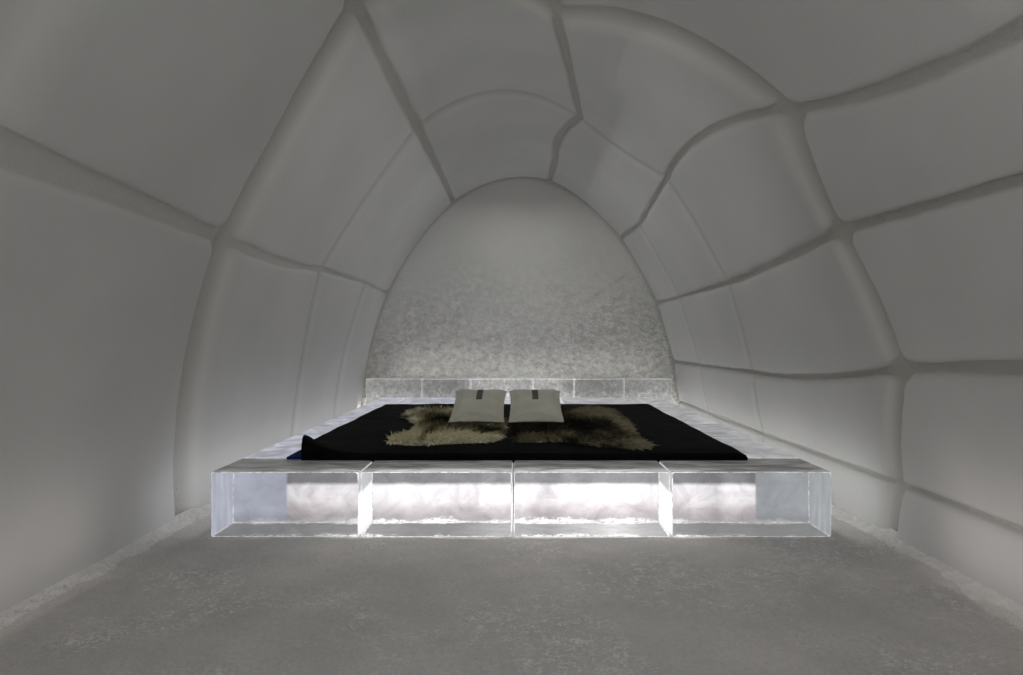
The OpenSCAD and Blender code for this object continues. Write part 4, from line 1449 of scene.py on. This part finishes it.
def area_lamp(name, place, size, watts, turn, colour=(1.0, 1.0, 1.0)):
    """A soft lamp, turned in degrees, that no picture or reflection shows."""
    lamp = new_piece(name, bpy.data.lights.new(name, "AREA"))
    lamp.data.shape = "RECTANGLE"
    lamp.data.size, lamp.data.size_y = size
    lamp.data.energy = watts
    lamp.data.color = colour
    lamp.location = place
    lamp.rotation_euler = [math.radians(a) for a in turn]
    lamp.data.cycles.use_multiple_importance_sampling = False
    lamp.visible_camera = lamp.visible_glossy = lamp.visible_transmission = False


# The faint pinkish light along the wall feet before the bed
FOOT_GLOW = {-1: 0.40, 1: 0.60}
PINKISH = (1.0, 0.93, 0.92)


def make_lamps():
    """Soft daylight outside, soft light from the doorway, and the glow of the bed."""
    sun = new_piece("soft_daylight", bpy.data.lights.new("soft_daylight", "SUN"))
    sun.data.energy = 1.3
    sun.data.angle = math.radians(25)
    sun.rotation_euler = [math.radians(a) for a in (28, -14, 0)]
    area_lamp("door_light", (0, FRONT_Y + 0.15, FLOOR_Z + 1.30), (1.6, 1.3), 3.8, (78, 0, 0))
    area_lamp("room_light", (0, FRONT_Y + 1.7, FLOOR_Z + 2.2), (1.0, 2.4), 2.8, (0, 0, 0))
    area_lamp("far_light", (0, -0.6, FLOOR_Z + 1.35), (1.2, 0.8), 1.7, (98, 0, 0))
    area_lamp("crown_light", (0, 0.9, BED_TOP + 0.42), (1.2, 2.2), 1.35, (180, 0, 0))
    area_lamp("bed_light", (0, 1.3, FLOOR_Z + 2.15), (0.9, 2.0), 6.6, (0, 0, 0))
    length = SIDE_HIGH[1] - BED_LOW[1]
    middle_y = (SIDE_HIGH[1] + BED_LOW[1]) / 2
    for side in (-1, 1):
        gap = (side * (SIDE_HIGH[0] + 0.02), middle_y, FLOOR_Z + 0.14)
        area_lamp(f"gap_glow_{side}", gap, (0.22, length), 1.6 + 0.3 * side, (0, -100 * side, 0))
        rim = (side * (SIDE_HIGH[0] - 0.12), middle_y, BED_TOP + 0.05)
        area_lamp(f"rim_glow_{side}", rim, (0.2, length), 0.4, (180, 0, 0))
    front_w = 0.7 * (BED_HIGH[0] - BED_LOW[0])
    area_lamp("front_glow", (0, BED_LOW[1] - 0.02, FLOOR_Z + 0.16), (front_w, 0.16), 0.3, (-70, 0, 0))
    area_lamp("back_glow", (0, WALL_Y - 0.030, FLOOR_Z + 0.20), (2.6, 0.36), 2.8, (90, 0, 0))
    for side in (-1, 1):
        corner_at = (side * (HEAD_HIGH[0] + 0.07), HEAD_HIGH[1] - 0.10, FLOOR_Z + 0.10)
        area_lamp(f"corner_glow_{side}", corner_at, (0.1, 0.16), 0.25, (140, 0, 0))
        foot = (side * (HALF_W - 0.20), BED_LOW[1] - 0.95, FLOOR_Z + 0.16)
        area_lamp(f"foot_glow_{side}", foot, (0.25, 1.2), FOOT_GLOW[side], (0, -115 * side, 0), PINKISH)
    area_lamp("wall_wash", (0, HEAD_LOW[1] + 0.05, HEAD_HIGH[2] + 0.02), (2.5, 0.1), 1.5, (150, 0, 0))


def make_ground():
    """A plain pale floor, which isn't part of the igloo."""
    mesh = bpy.data.meshes.new("ground")
    reach = 400.0
    corners = [(-reach, -reach, 0), (reach, -reach, 0), (reach, reach, 0), (-reach, reach, 0)]
    mesh.from_pydata(corners, [], [(0, 1, 2, 3)])
    ground = new_piece("ground", mesh)
    material, place = new_material("ground")
    speckle = ramp(noise_value(place, 3.0, 3.0), [(0.3, 0.78), (0.7, 0.8)])
    mesh.materials.append(shaded(material, {"Base Color": speckle, "Roughness": 0.9}))


def make_sky():
    """An even pale sky."""
    world = bpy.data.worlds.new("sky")
    bpy.context.scene.world = world
    world.use_nodes = True
    sky = world.node_tree.nodes["Background"].inputs
    plug((0.95, 0.97, 1.0), sky["Color"])
    plug(0.7, sky["Strength"])


bpy.context.scene.view_settings.view_transform = "Standard"
make_camera()
make_vault()
make_end_walls()
make_floor()
make_banks()
make_bed()
make_mat()
make_blanket()
make_hides()
make_pillows()
make_lamps()
make_ground()
make_sky()
